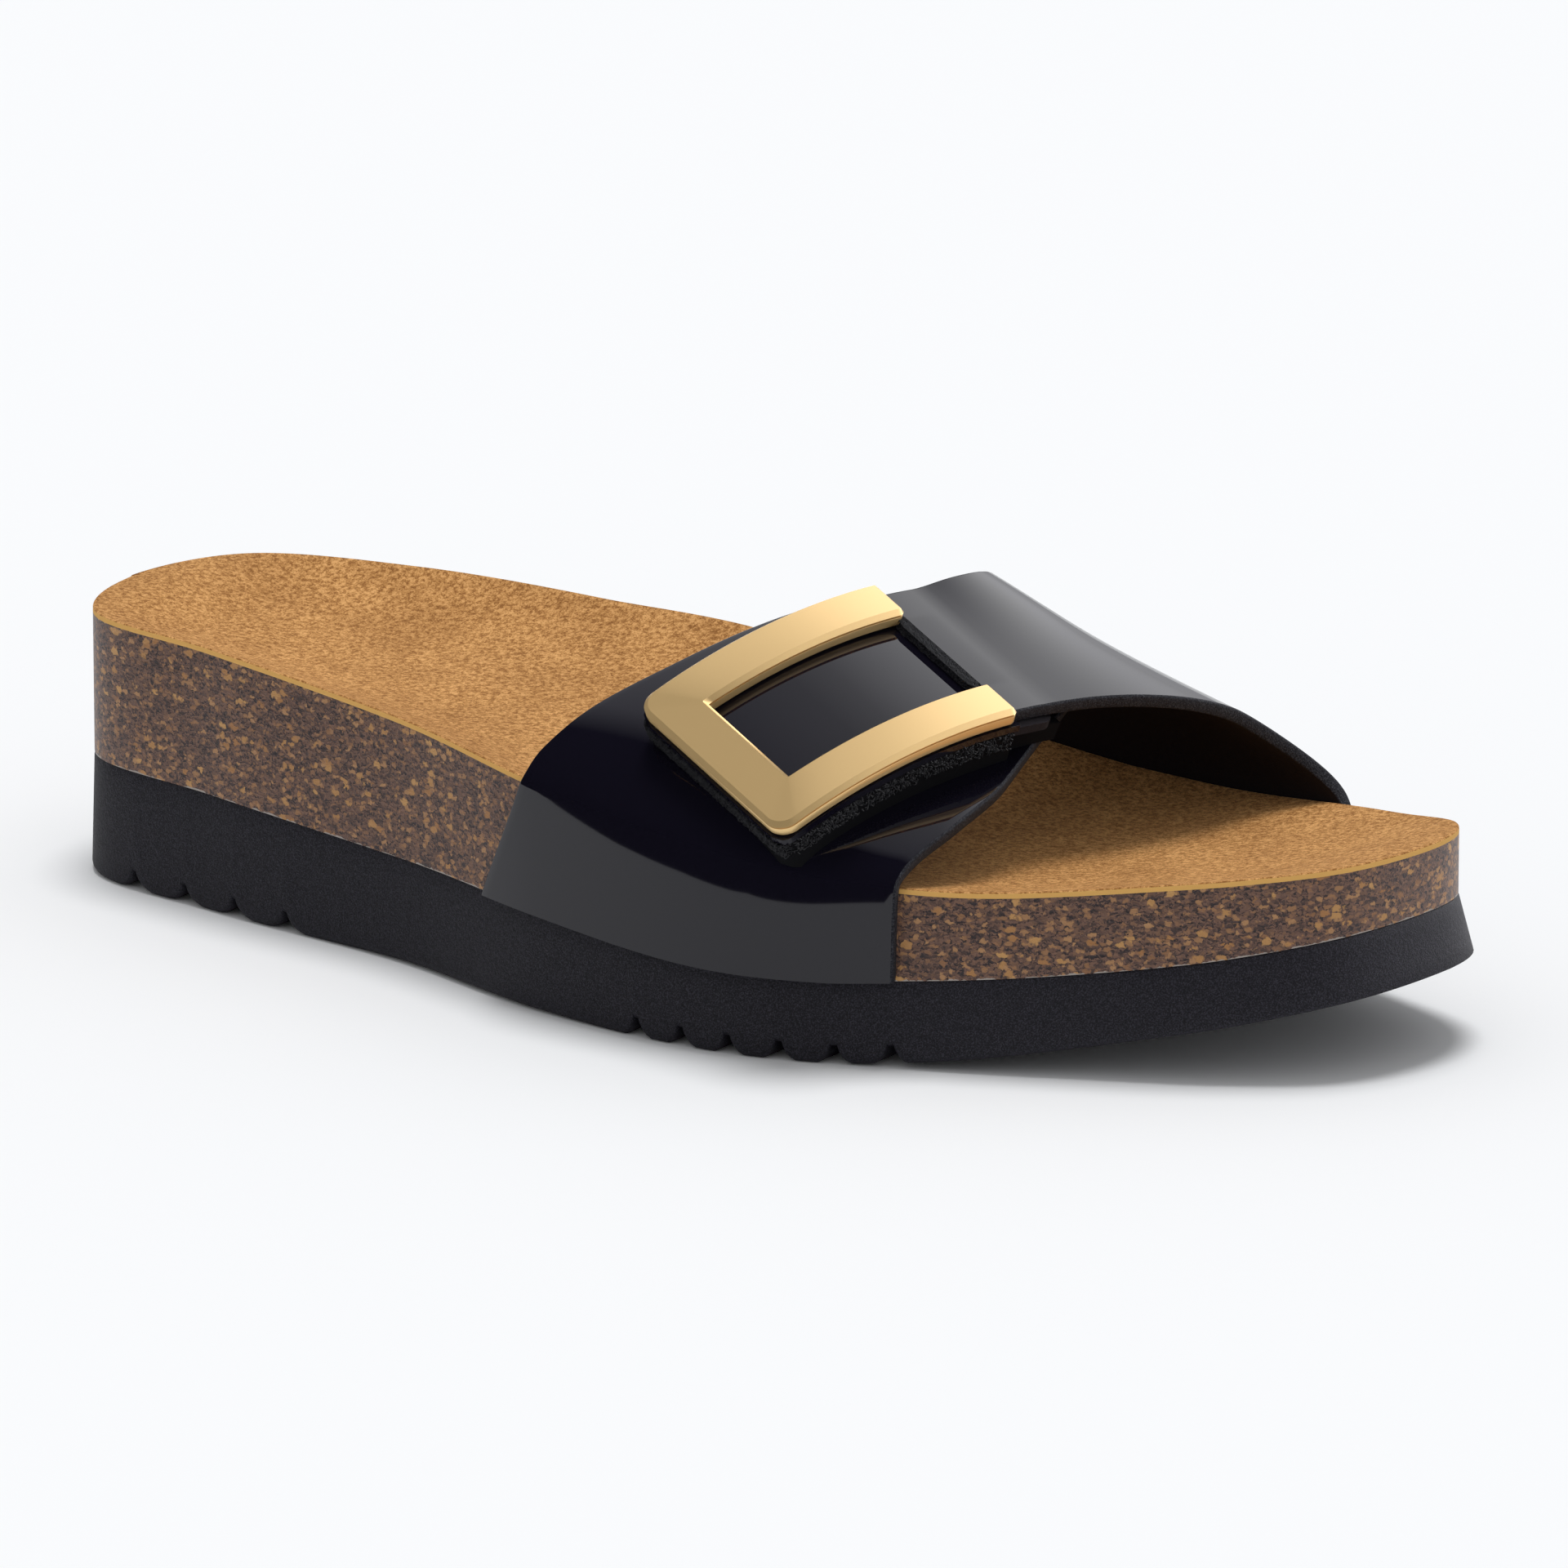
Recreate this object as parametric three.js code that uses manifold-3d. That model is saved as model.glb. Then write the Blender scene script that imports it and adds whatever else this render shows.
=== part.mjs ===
// A one-band platform mule for the right foot, standing empty on its sole.
// Millimetres, +X to the toe, +Y to the inner side of the foot, +Z up.
import * as THREE from 'three';
import { mergeVertices } from 'three/addons/utils/BufferGeometryUtils.js';
import Module from 'manifold-3d';

const wasm = await Module();
wasm.setup();

// Sole
const shoeLength = 252;
const ballWidth = 94;
const outsoleHeel = 20.7;
const corkHeel = 25.9;
const toeSpring = 15;
const waistLift = 0.3;
const sideFlare = 0.6;
const toeFlare = 2;
const treadEdgeRound = 1.4;
const toeSharpness = 0.7;
const insoleThickness = 1;
const footbedDepth = 6;
const dishRun = 22;
const dishPower = 2.6;
const pieceGap = 0.3;

// Where the tread is lifted off the floor at the waist and where the toe edge flares
// further, as shares of the length, with the share over which the lift eases in.
const waist = { from: 0.25, to: 0.54, ease: 0.08 };
const flareFrom = 0.82;

// Tread
const lugDepth = 3;
const heelNotch = { count: 4, first: 19.4, pitch: 11.8, mouth: 8.4, crown: 0.8, flank: 0.75 };
const foreNotch = { count: 6, first: 138, pitch: 8.8, mouth: 5.4, crown: 1, flank: 0.6 };

// Band
const strapWall = 2.2;
const instepHeight = 60;
const crestShift = 5;
const medialCrestShift = -3;
const rimShare = 0.3;
const lateralReach = 0.55;
const medialFlank = { rise: 0.42, reach: 0.5 };
const closureThickness = 4.2;

// Buckle
const buckleWidth = 38.7;
const buckleLength = 60;
const barWidth = 8.6;
const barThickness = 3;
const buckleBend = 92;
const buckleCorner = 3.5;
const buckleBevel = 0.8;
const coveredLength = 10.5;
const buckleOverhang = 11.3;
const coveredThickness = 1.5;
const coverRecess = 4.1;
const coverInset = 1.6;
const legLength = 1.8;
const tongueReach = 2.2;
const tongueEase = 1.6;

// Place of the buckle as shares along and across the band, its turn in degrees, and
// how far across the inner strap lies on the buckle's covered end and leaves it.
const buckleAlong = 0.618;
const buckleAcross = -0.412;
const turnDegrees = 26.5;
const crossingReach = 0.16;
const crossingEase = 0.22;
const tongueStart = 0.07;
const lateralStrapEnd = 0.08;

// Outline of the sole in plan: shares of the length and of the ball width, heel to toe.
const heelTip = { along: 0, across: -0.01 };
const toeTip = { along: 1, across: 0.11 };
const outlineRows = [
  { along: 0.031, medial: 0.235, lateral: 0.232 },
  { along: 0.15, medial: 0.328, lateral: 0.325 },
  { along: 0.32, medial: 0.327, lateral: 0.408 },
  { along: 0.47, medial: 0.33, lateral: 0.538 },
  { along: 0.62, medial: 0.404, lateral: 0.568 },
  { along: 0.73, medial: 0.458, lateral: 0.48 },
  { along: 0.82, medial: 0.43, lateral: 0.385 },
  { along: 0.92, medial: 0.335, lateral: 0.25 },
  { along: 0.98, medial: 0.24, lateral: 0.11 },
];

// Heights along the shoe: outsole as a share of its heel thickness, rims as shares
// of the cork's heel height, spring and cup as shares of the toe spring and cup depth.
const heightRows = [
  { along: 0, outsole: 1, lateral: 0.97, medial: 0.98, spring: 0, cup: 0.2 },
  { along: 0.15, outsole: 0.97, lateral: 0.974, medial: 1.005, spring: 0, cup: 1 },
  { along: 0.3, outsole: 0.87, lateral: 0.936, medial: 1.08, spring: 0, cup: 0.95 },
  { along: 0.45, outsole: 0.825, lateral: 0.846, medial: 1.06, spring: 0, cup: 0.9 },
  { along: 0.6, outsole: 0.685, lateral: 0.772, medial: 0.76, spring: -0.045, cup: 0.6 },
  { along: 0.75, outsole: 0.665, lateral: 0.581, medial: 0.49, spring: 0.09, cup: 0.4 },
  { along: 0.9, outsole: 0.55, lateral: 0.52, medial: 0.45, spring: 0.56, cup: 0.3 },
  { along: 1, outsole: 0.48, lateral: 0.43, medial: 0.43, spring: 1, cup: 0.1 },
];

// Inner crest of the band over the floor as a share of the instep height, and how
// full the outer flank is, as a share of its rise.
const archRows = [
  { along: 0.38, crest: 0.88, fullness: 0.3 },
  { along: 0.5, crest: 0.965, fullness: 0.28 },
  { along: 0.6, crest: 0.975, fullness: 0.25 },
  { along: 0.64, crest: 0.935, fullness: 0.25 },
  { along: 0.69, crest: 0.825, fullness: 0.25 },
  { along: 0.74, crest: 0.74, fullness: 0.25 },
  { along: 0.79, crest: 0.68, fullness: 0.25 },
  { along: 0.87, crest: 0.58, fullness: 0.25 },
];

// Crest of the inner strap's own, higher arch, as a share of the instep height.
const medialArchRows = [
  { along: 0.56, crest: 1.29 },
  { along: 0.63, crest: 1.178 },
  { along: 0.71, crest: 1.005 },
  { along: 0.79, crest: 0.875 },
  { along: 0.86, crest: 0.78 },
];

// Edges of the two straps in plan. Across runs from -1 at the outer edge of the
// sole, over 0 at the crest, to 1 at the inner edge; rear and front are shares of the length.
const lateralStrapRows = [
  { across: -1, rear: 0.417, front: 0.726 },
  { across: -0.7, rear: 0.455, front: 0.728 },
  { across: -0.55, rear: 0.463, front: 0.733 },
  { across: -0.4, rear: 0.478, front: 0.742 },
  { across: -0.24, rear: 0.51, front: 0.744 },
  { across: 0.08, rear: 0.57, front: 0.714 },
];
const medialStrapRows = [
  { across: -0.16, rear: 0.6, front: 0.745 },
  { across: 0, rear: 0.628, front: 0.775 },
  { across: 0.15, rear: 0.637, front: 0.793 },
  { across: 0.4, rear: 0.612, front: 0.81 },
  { across: 0.7, rear: 0.575, front: 0.855 },
  { across: 1, rear: 0.563, front: 0.862 },
];

// Grid steps: around one side of the sole, across it, over the arch, across a strap,
// along a side when an edge is looked up, along a block under the buckle, around the
// buckle's long bars and corners, and halvings when a place is searched.
const sideSteps = 40;
const acrossSteps = 8;
const archSteps = 26;
const strapSteps = 10;
const fineSteps = 240;
const blockStep = 5;
const blockRows = 8;
const longBarSteps = 12;
const cornerSteps = 4;
const searchSteps = 24;

function mix(a, b, share) {
  return a + (b - a) * share;
}

function ease(share) {
  const t = Math.min(Math.max(share, 0), 1);
  return t * t * (3 - 2 * t);
}

// Smooth value of one column of a table at a place on its key column.
function blend(rows, key, column, place) {
  const last = rows.length - 1;
  const at = Math.min(Math.max(place, rows[0][key]), rows[last][key]);
  let row = 0;
  while (row < last - 1 && at > rows[row + 1][key]) row += 1;
  const slope = (index) => {
    const before = rows[Math.max(index - 1, 0)];
    const after = rows[Math.min(index + 1, last)];
    return (after[column] - before[column]) / (after[key] - before[key]);
  };
  const span = rows[row + 1][key] - rows[row][key];
  const t = (at - rows[row][key]) / span;
  const start = rows[row][column];
  const end = rows[row + 1][column];
  const rise = t * t * (3 - 2 * t);
  return mix(start, end, rise) + span * (slope(row) * t * (1 - t) ** 2 - slope(row + 1) * t * t * (1 - t));
}

// Closed plan outline, from the heel tip over the inner side to the toe and back.
function makeOutline() {
  const place = (along, across) => new THREE.Vector3(along * shoeLength, across * ballWidth, 0);
  const medial = outlineRows.map((row) => place(row.along, row.medial));
  const lateral = outlineRows.map((row) => place(row.along, -row.lateral)).reverse();
  const heel = place(heelTip.along, heelTip.across);
  const toe = place(toeTip.along, toeTip.across);
  return new THREE.CatmullRomCurve3([heel, ...medial, toe, ...lateral], true, 'centripetal');
}

const outline = makeOutline();

// One side of the outline as points from heel to toe, moved out by offset(x).
function sidePoints(side, offset, steps) {
  const points = [];
  for (let i = 0; i <= steps; i += 1) {
    const half = (0.5 * i) / steps;
    const t = side > 0 ? half : (1 - half) % 1;
    const point = outline.getPoint(t);
    const tangent = outline.getTangent(t);
    const distance = offset(point.x);
    points.push(new THREE.Vector2(point.x - tangent.y * distance, point.y + tangent.x * distance));
  }
  return points;
}

// Both sides of the outline, keyed 1 for the inner side and -1 for the outer one.
function bothSides(distance) {
  return { 1: sidePoints(1, () => distance, fineSteps), [-1]: sidePoints(-1, () => distance, fineSteps) };
}

const soleEdges = bothSides(0);
const bandEdges = bothSides(pieceGap);

// Place across the shoe of an edge at x.
function edgeAt(edges, side, x) {
  const points = edges[side];
  let i = 1;
  while (i < points.length - 1 && points[i].x < x) i += 1;
  const before = points[i - 1];
  const after = points[i];
  const share = Math.min(Math.max((x - before.x) / (after.x - before.x), 0), 1);
  return mix(before.y, after.y, share);
}

function column(name, x) {
  return blend(heightRows, 'along', name, x / shoeLength);
}

function springAt(x) {
  return toeSpring * Math.max(0, column('spring', x));
}

function treadHeight(x) {
  const place = x / shoeLength;
  const lift = ease((place - waist.from) / waist.ease) * ease((waist.to - place) / waist.ease);
  return springAt(x) + waistLift * lift;
}

function outsoleTop(x) {
  return springAt(x) + outsoleHeel * column('outsole', x);
}

function rimHeight(side, x) {
  return outsoleTop(x) + corkHeel * column(side > 0 ? 'medial' : 'lateral', x);
}

// Top of the insole: level with the rim at its edge and dished inside it.
function footbedHeight(x, y) {
  const inner = edgeAt(soleEdges, 1, x);
  const outer = edgeAt(soleEdges, -1, x);
  const width = Math.max(inner - outer, pieceGap);
  const share = Math.min(Math.max((y - outer) / width, 0), 1);
  const rim = mix(rimHeight(-1, x), rimHeight(1, x), share);
  const ends = ease(x / dishRun) * ease((shoeLength - x) / dishRun);
  const dish = 1 - Math.abs(2 * share - 1) ** dishPower;
  return rim - footbedDepth * column('cup', x) * ends * dish;
}

// A list of triangles that skips the empty ones.
class Skin {
  constructor() {
    this.corners = [];
  }

  triangle(a, b, c) {
    const flat = a.distanceTo(b) < 1e-5 || b.distanceTo(c) < 1e-5 || c.distanceTo(a) < 1e-5;
    if (!flat) this.corners.push(a, b, c);
  }

  quad(a, b, c, d) {
    this.triangle(a, b, c);
    this.triangle(a, c, d);
  }

  geometry() {
    const values = this.corners.flatMap((corner) => [corner.x, corner.y, corner.z]);
    const loose = new THREE.BufferGeometry();
    loose.setAttribute('position', new THREE.Float32BufferAttribute(values, 3));
    return mergeVertices(loose, 1e-4);
  }
}

function toManifold(geometry) {
  const bare = geometry.clone();
  bare.deleteAttribute('normal');
  bare.deleteAttribute('uv');
  const merged = mergeVertices(bare, 1e-4);
  const vertProperties = new Float32Array(merged.attributes.position.array);
  const triVerts = new Uint32Array(merged.index.array);
  return new wasm.Manifold(new wasm.Mesh({ numProp: 3, vertProperties, triVerts }));
}

function toGeometry(manifold) {
  const mesh = manifold.getMesh();
  const geometry = new THREE.BufferGeometry();
  geometry.setAttribute('position', new THREE.BufferAttribute(new Float32Array(mesh.vertProperties), 3));
  geometry.setIndex(new THREE.BufferAttribute(new Uint32Array(mesh.triVerts), 1));
  return geometry;
}

// A closed slab with the sole's outline. Layers run from the bottom up, each with an
// outward offset(x) and a height(x, y); the first and last are closed by a grid.
function outlineSlab(layers) {
  const skin = new Skin();
  const loops = layers.map((layer) => {
    const raise = (point) => new THREE.Vector3(point.x, point.y, layer.height(point.x, point.y));
    return {
      inner: sidePoints(1, layer.offset, sideSteps).map(raise),
      outer: sidePoints(-1, layer.offset, sideSteps).map(raise),
      height: layer.height,
    };
  });
  const cap = (loop, up) => {
    const corner = (i, j) => {
      if (j === 0) return loop.outer[i];
      if (j === acrossSteps) return loop.inner[i];
      const point = loop.outer[i].clone().lerp(loop.inner[i], j / acrossSteps);
      point.z = loop.height(point.x, point.y);
      return point;
    };
    for (let i = 0; i < sideSteps; i += 1) {
      for (let j = 0; j < acrossSteps; j += 1) {
        const ring = [corner(i + 1, j), corner(i + 1, j + 1), corner(i, j + 1)];
        if (!up) ring.reverse();
        skin.quad(corner(i, j), ...ring);
      }
    }
  };
  cap(loops[0], false);
  cap(loops[loops.length - 1], true);
  for (let k = 0; k + 1 < loops.length; k += 1) {
    for (let i = 0; i < sideSteps; i += 1) {
      const low = loops[k];
      const high = loops[k + 1];
      skin.quad(low.outer[i], low.outer[i + 1], high.outer[i + 1], high.outer[i]);
      skin.quad(low.inner[i + 1], low.inner[i], high.inner[i], high.inner[i + 1]);
    }
  }
  return skin.geometry();
}

// A groove across the whole tread, with straight or rounded flanks.
function notchCutter(notch, x) {
  const mouth = notch.mouth / 2;
  const crown = notch.crown / 2;
  const bow = (side) => [
    side * mix((mouth + crown) / 2, crown, notch.flank),
    mix(lugDepth / 2, 0, notch.flank),
  ];
  const shape = new THREE.Shape();
  shape.moveTo(-mouth, -lugDepth);
  shape.lineTo(-mouth, 0);
  shape.quadraticCurveTo(...bow(-1), -crown, lugDepth);
  shape.lineTo(crown, lugDepth);
  shape.quadraticCurveTo(...bow(1), mouth, 0);
  shape.lineTo(mouth, -lugDepth);
  const width = 2 * ballWidth;
  const cutter = new THREE.ExtrudeGeometry(shape, { depth: width, bevelEnabled: false, curveSegments: 5 });
  cutter.rotateX(Math.PI / 2);
  cutter.translate(x, width / 2, treadHeight(x));
  return toManifold(cutter);
}

function outsoleGeometry() {
  const toeShare = (x) => ease((x / shoeLength - flareFrom) / (1 - flareFrom));
  const edgeRound = (x) => treadEdgeRound * (1 - toeSharpness * toeShare(x));
  const flare = (x) => sideFlare + toeFlare * toeShare(x);
  const body = outlineSlab([
    { offset: (x) => flare(x) - edgeRound(x), height: (x) => treadHeight(x) },
    { offset: flare, height: (x) => treadHeight(x) + edgeRound(x) },
    { offset: () => 0, height: (x) => outsoleTop(x) },
  ]);
  let solid = toManifold(body);
  for (const notch of [heelNotch, foreNotch]) {
    for (let k = 0; k < notch.count; k += 1) {
      solid = solid.subtract(notchCutter(notch, notch.first + k * notch.pitch));
    }
  }
  return toGeometry(solid);
}

function midsoleGeometry() {
  return outlineSlab([
    { offset: () => 0, height: (x) => outsoleTop(x) + pieceGap },
    { offset: () => 0, height: (x, y) => footbedHeight(x, y) - insoleThickness - pieceGap },
  ]);
}

function insoleGeometry() {
  return outlineSlab([
    { offset: () => 0, height: (x, y) => footbedHeight(x, y) - insoleThickness },
    { offset: () => 0, height: (x, y) => footbedHeight(x, y) },
  ]);
}

// The arch under the outer strap, and the higher one under the inner strap.
const outerArch = { rows: archRows, middle: crestShift };
const innerArch = { rows: medialArchRows, middle: medialCrestShift };

// Inner face of an arch at x: from the sole's edge straight up to the rim, then over
// a flank to the crest. Across is -1 to 1 as in the strap tables.
function archPoint(x, across, arch = outerArch) {
  const side = across < 0 ? -1 : 1;
  const edge = edgeAt(bandEdges, side, x);
  const rim = rimHeight(side, x);
  const fromCrest = Math.abs(across);
  if (fromCrest > 1 - rimShare) {
    const base = outsoleTop(x) + pieceGap;
    return new THREE.Vector3(x, edge, mix(base, rim, (1 - fromCrest) / rimShare));
  }
  const place = x / shoeLength;
  const crest = instepHeight * blend(arch.rows, 'along', 'crest', place);
  const rise = side < 0 ? blend(archRows, 'along', 'fullness', place) : medialFlank.rise;
  const reach = side < 0 ? lateralReach : medialFlank.reach;
  const flank = new THREE.CubicBezierCurve(
    new THREE.Vector2(edge, rim),
    new THREE.Vector2(edge, mix(rim, crest, rise)),
    new THREE.Vector2(mix(arch.middle, edge, reach), crest),
    new THREE.Vector2(arch.middle, crest),
  );
  const point = flank.getPoint(1 - fromCrest / (1 - rimShare));
  return new THREE.Vector3(x, point.x, point.y);
}

function archNormal(x, across, arch = outerArch) {
  const stepAlong = 0.5;
  const stepAcross = 0.01;
  const along = archPoint(x + stepAlong, across, arch).sub(archPoint(x - stepAlong, across, arch));
  const low = Math.max(across - stepAcross, -1);
  const high = Math.min(across + stepAcross, 1);
  const over = archPoint(x, high, arch).sub(archPoint(x, low, arch));
  return along.cross(over).normalize();
}

function bandPoint(x, across, lift, arch = outerArch) {
  return archPoint(x, across, arch).addScaledVector(archNormal(x, across, arch), lift);
}

// Height of the arch's inner face at a place in plan, or nothing outside the band.
function archHeight(x, y) {
  const side = y < crestShift ? -1 : 1;
  const edge = edgeAt(bandEdges, side, x);
  if ((y - edge) * side > 0) return -Infinity;
  let low = 0;
  let high = 1 - rimShare;
  for (let k = 0; k < searchSteps; k += 1) {
    const middle = (low + high) / 2;
    if ((archPoint(x, side * middle).y - y) * side > 0) high = middle;
    else low = middle;
  }
  return archPoint(x, side * low).z;
}

// A strap of constant wall between two rows of edges.
function strapShell(rows, start, end, pointAt) {
  const grid = (lift) => {
    const lines = [];
    for (let i = 0; i <= archSteps; i += 1) {
      const line = [];
      for (let j = 0; j <= strapSteps; j += 1) {
        const share = j / strapSteps;
        const across = mix(start, end, i / archSteps);
        const rear = blend(rows, 'across', 'rear', across);
        const front = blend(rows, 'across', 'front', across);
        const x = shoeLength * mix(rear, front, share);
        line.push(pointAt({ x, across, share, lift }));
      }
      lines.push(line);
    }
    return lines;
  };
  const under = grid(0);
  const over = grid(strapWall);
  const skin = new Skin();
  const face = (a, b, c, d) => (start < 0 ? skin.quad(a, b, c, d) : skin.quad(d, c, b, a));
  for (let i = 0; i < archSteps; i += 1) {
    for (let j = 0; j < strapSteps; j += 1) {
      face(over[i][j], over[i][j + 1], over[i + 1][j + 1], over[i + 1][j]);
      face(under[i + 1][j], under[i + 1][j + 1], under[i][j + 1], under[i][j]);
    }
    face(under[i][0], over[i][0], over[i + 1][0], under[i + 1][0]);
    const last = strapSteps;
    face(over[i][last], under[i][last], under[i + 1][last], over[i + 1][last]);
  }
  for (let j = 0; j < strapSteps; j += 1) {
    face(under[0][j], under[0][j + 1], over[0][j + 1], over[0][j]);
    const last = archSteps;
    face(over[last][j], over[last][j + 1], under[last][j + 1], under[last][j]);
  }
  return skin.geometry();
}

// The buckle's own axes: over the foot, along the foot, and out of the strap.
const stackLift = strapWall + closureThickness + pieceGap + barThickness;
const buckleSeat = bandPoint(buckleAlong * shoeLength, buckleAcross, stackLift);
const buckleOut = archNormal(buckleAlong * shoeLength, buckleAcross);
const turnAngle = THREE.MathUtils.degToRad(turnDegrees);
const buckleFore = new THREE.Vector3(Math.cos(turnAngle), -Math.sin(turnAngle), 0);
buckleFore.addScaledVector(buckleOut, -buckleFore.dot(buckleOut)).normalize();
const buckleOver = buckleOut.clone().cross(buckleFore);

// A point of the bent frame: p over the foot, q along it, depth under its top face.
function framePoint(p, q, depth) {
  const angle = p / buckleBend;
  const radius = buckleBend - depth;
  return buckleSeat.clone()
    .addScaledVector(buckleOver, radius * Math.sin(angle))
    .addScaledVector(buckleFore, q)
    .addScaledVector(buckleOut, radius * Math.cos(angle) - buckleBend);
}

const frameStart = -buckleOverhang;
const frameEnd = frameStart + buckleLength;
const coverStart = frameEnd - coveredLength;
const coverHalf = buckleWidth / 2 - coverInset;
const windowHalf = buckleWidth / 2 - barWidth;
const coverEnd = frameEnd + strapWall + pieceGap;

// Outer strap: on the arch itself.
function lateralPoint({ x, across, lift }) {
  return bandPoint(x, across, lift);
}

// Inner strap: over its own arch, then on the covered bar of the frame at the
// crossing, where its middle dips into the window as a tongue.
function medialPoint({ x, across, share, lift }) {
  const free = bandPoint(x, Math.max(across, 0), lift, innerArch);
  const onFrame = ease((crossingEase - across) / crossingEase);
  if (onFrame === 0) return free;
  const q = mix(-coverHalf, coverHalf, share);
  const tongue = ease((-across - tongueStart) / (crossingReach - tongueStart)) *
    ease((windowHalf - Math.abs(q)) / tongueEase);
  const p = frameEnd + (across / crossingReach) * coveredLength - tongueReach * tongue;
  const depth = mix(coverRecess - pieceGap, barThickness + strapWall, tongue) - lift;
  return free.lerp(framePoint(p, q, depth), onFrame);
}

// The rectangular frame with sharp inner and rounded outer corners, grown by a clearance.
function buckleGeometry(clearance) {
  const outerHalf = buckleWidth / 2 + clearance;
  const innerHalf = buckleWidth / 2 - barWidth - clearance;
  const outerStart = frameStart - clearance;
  const outerEnd = frameEnd + clearance;
  const innerStart = frameStart + barWidth + clearance;
  const innerEnd = frameEnd - barWidth - clearance;
  const round = buckleCorner + clearance;
  const stations = [];
  const lowest = coverRecess + coveredThickness;
  const corner = (endSide, widthSide, first, recess) => {
    const inner = [endSide < 0 ? innerStart : innerEnd, widthSide * innerHalf];
    const centre = [endSide < 0 ? outerStart + round : outerEnd - round, widthSide * (outerHalf - round)];
    for (let k = 0; k <= cornerSteps; k += 1) {
      const angle = first + (k / cornerSteps) * (Math.PI / 2);
      const outer = [centre[0] + round * Math.cos(angle), centre[1] + round * Math.sin(angle)];
      stations.push({ inner, outer, recess, low: recess > 0 ? lowest : barThickness });
    }
  };
  // A long bar ends in a leg that steps down to the covered bar.
  const longBar = (widthSide) => {
    const legStart = coverStart - legLength - clearance;
    const at = (share, end) => ({
      inner: [mix(innerStart, end, share), widthSide * innerHalf],
      outer: [mix(outerStart + round, end, share), widthSide * outerHalf],
    });
    const bar = [];
    for (let k = 1; k <= longBarSteps; k += 1) {
      bar.push({ ...at(k / longBarSteps, legStart), recess: 0, low: barThickness });
    }
    bar.push({ ...at(1, legStart), recess: 0, low: lowest });
    bar.push({ ...at(1, coverStart + clearance), recess: 0, low: lowest });
    bar.push({ ...at(1, coverStart + clearance), recess: coverRecess, low: lowest });
    stations.push(...(widthSide < 0 ? bar : bar.reverse()));
  };
  corner(-1, -1, Math.PI, 0);
  longBar(-1);
  corner(1, -1, 1.5 * Math.PI, coverRecess);
  corner(1, 1, 0, coverRecess);
  longBar(1);
  corner(-1, 1, 0.5 * Math.PI, 0);
  const rings = stations.map(({ inner, outer, recess, low }) => {
    const from = new THREE.Vector2(...inner);
    const to = new THREE.Vector2(...outer);
    const bevel = Math.min(buckleBevel, (low - recess) / 2);
    const edge = bevel / from.distanceTo(to);
    const at = (share, depth) => {
      const plan = from.clone().lerp(to, share);
      return framePoint(plan.x, plan.y, depth);
    };
    return [
      at(edge, recess - clearance),
      at(1 - edge, recess - clearance),
      at(1, recess + bevel - clearance),
      at(1, low + clearance),
      at(0, low + clearance),
      at(0, recess + bevel - clearance),
    ];
  });
  const skin = new Skin();
  rings.forEach((ring, i) => {
    const next = rings[(i + 1) % rings.length];
    ring.forEach((point, k) => {
      const after = (k + 1) % ring.length;
      skin.quad(point, next[k], next[after], ring[after]);
    });
  });
  return skin.geometry();
}

// Depth under the frame's top face at which a line along the frame's normal meets
// the inner face of the arch.
function depthToArch(p, q) {
  let low = 0;
  let high = instepHeight;
  for (let k = 0; k < searchSteps; k += 1) {
    const middle = (low + high) / 2;
    const point = framePoint(p, q, middle);
    if (point.z < archHeight(point.x, point.y)) high = middle;
    else low = middle;
  }
  return low;
}

// A bent block between a top depth and the middle of the outer strap's wall.
function frameBlock(start, end, halfWidth, top) {
  const steps = Math.max(2, Math.round((end - start) / blockStep));
  const rows = blockRows;
  const grid = (bottom) => {
    const lines = [];
    for (let i = 0; i <= steps; i += 1) {
      const line = [];
      for (let j = 0; j <= rows; j += 1) {
        const p = mix(start, end, i / steps);
        const q = mix(-halfWidth, halfWidth, j / rows);
        line.push(framePoint(p, q, bottom ? depthToArch(p, q) - strapWall / 2 : top));
      }
      lines.push(line);
    }
    return lines;
  };
  const over = grid(false);
  const under = grid(true);
  const skin = new Skin();
  for (let i = 0; i < steps; i += 1) {
    for (let j = 0; j < rows; j += 1) {
      skin.quad(over[i][j], over[i][j + 1], over[i + 1][j + 1], over[i + 1][j]);
      skin.quad(under[i + 1][j], under[i + 1][j + 1], under[i][j + 1], under[i][j]);
    }
    skin.quad(under[i][0], over[i][0], over[i + 1][0], under[i + 1][0]);
    skin.quad(over[i][rows], under[i][rows], under[i + 1][rows], over[i + 1][rows]);
  }
  for (let j = 0; j < rows; j += 1) {
    skin.quad(under[0][j], under[0][j + 1], over[0][j + 1], over[0][j]);
    skin.quad(over[steps][j], over[steps][j + 1], under[steps][j + 1], under[steps][j]);
  }
  return skin.geometry();
}

function upperGeometry() {
  const lateral = strapShell(lateralStrapRows, -1, lateralStrapEnd, lateralPoint);
  const medial = strapShell(medialStrapRows, 1, -crossingReach, medialPoint);
  const closure = frameBlock(frameStart - pieceGap, coverEnd, buckleWidth / 2, barThickness + pieceGap);
  const fold = frameBlock(coverStart, coverEnd, coverHalf, coverRecess - pieceGap - strapWall / 3);
  const frame = toManifold(buckleGeometry(pieceGap));
  const solid = toManifold(lateral).add(toManifold(medial)).add(toManifold(closure)).add(toManifold(fold));
  return toGeometry(solid.subtract(frame));
}

const finishes = {
  outsole: { color: 0x15151a, roughness: 0.8, metalness: 0 },
  midsole: { color: 0x5b3f2c, roughness: 0.75, metalness: 0 },
  insole: { color: 0xb98a4e, roughness: 0.9, metalness: 0 },
  upper: { color: 0x0b0b10, roughness: 0.12, metalness: 0 },
  buckle: { color: 0xc9a25a, roughness: 0.3, metalness: 1 },
};

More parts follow.
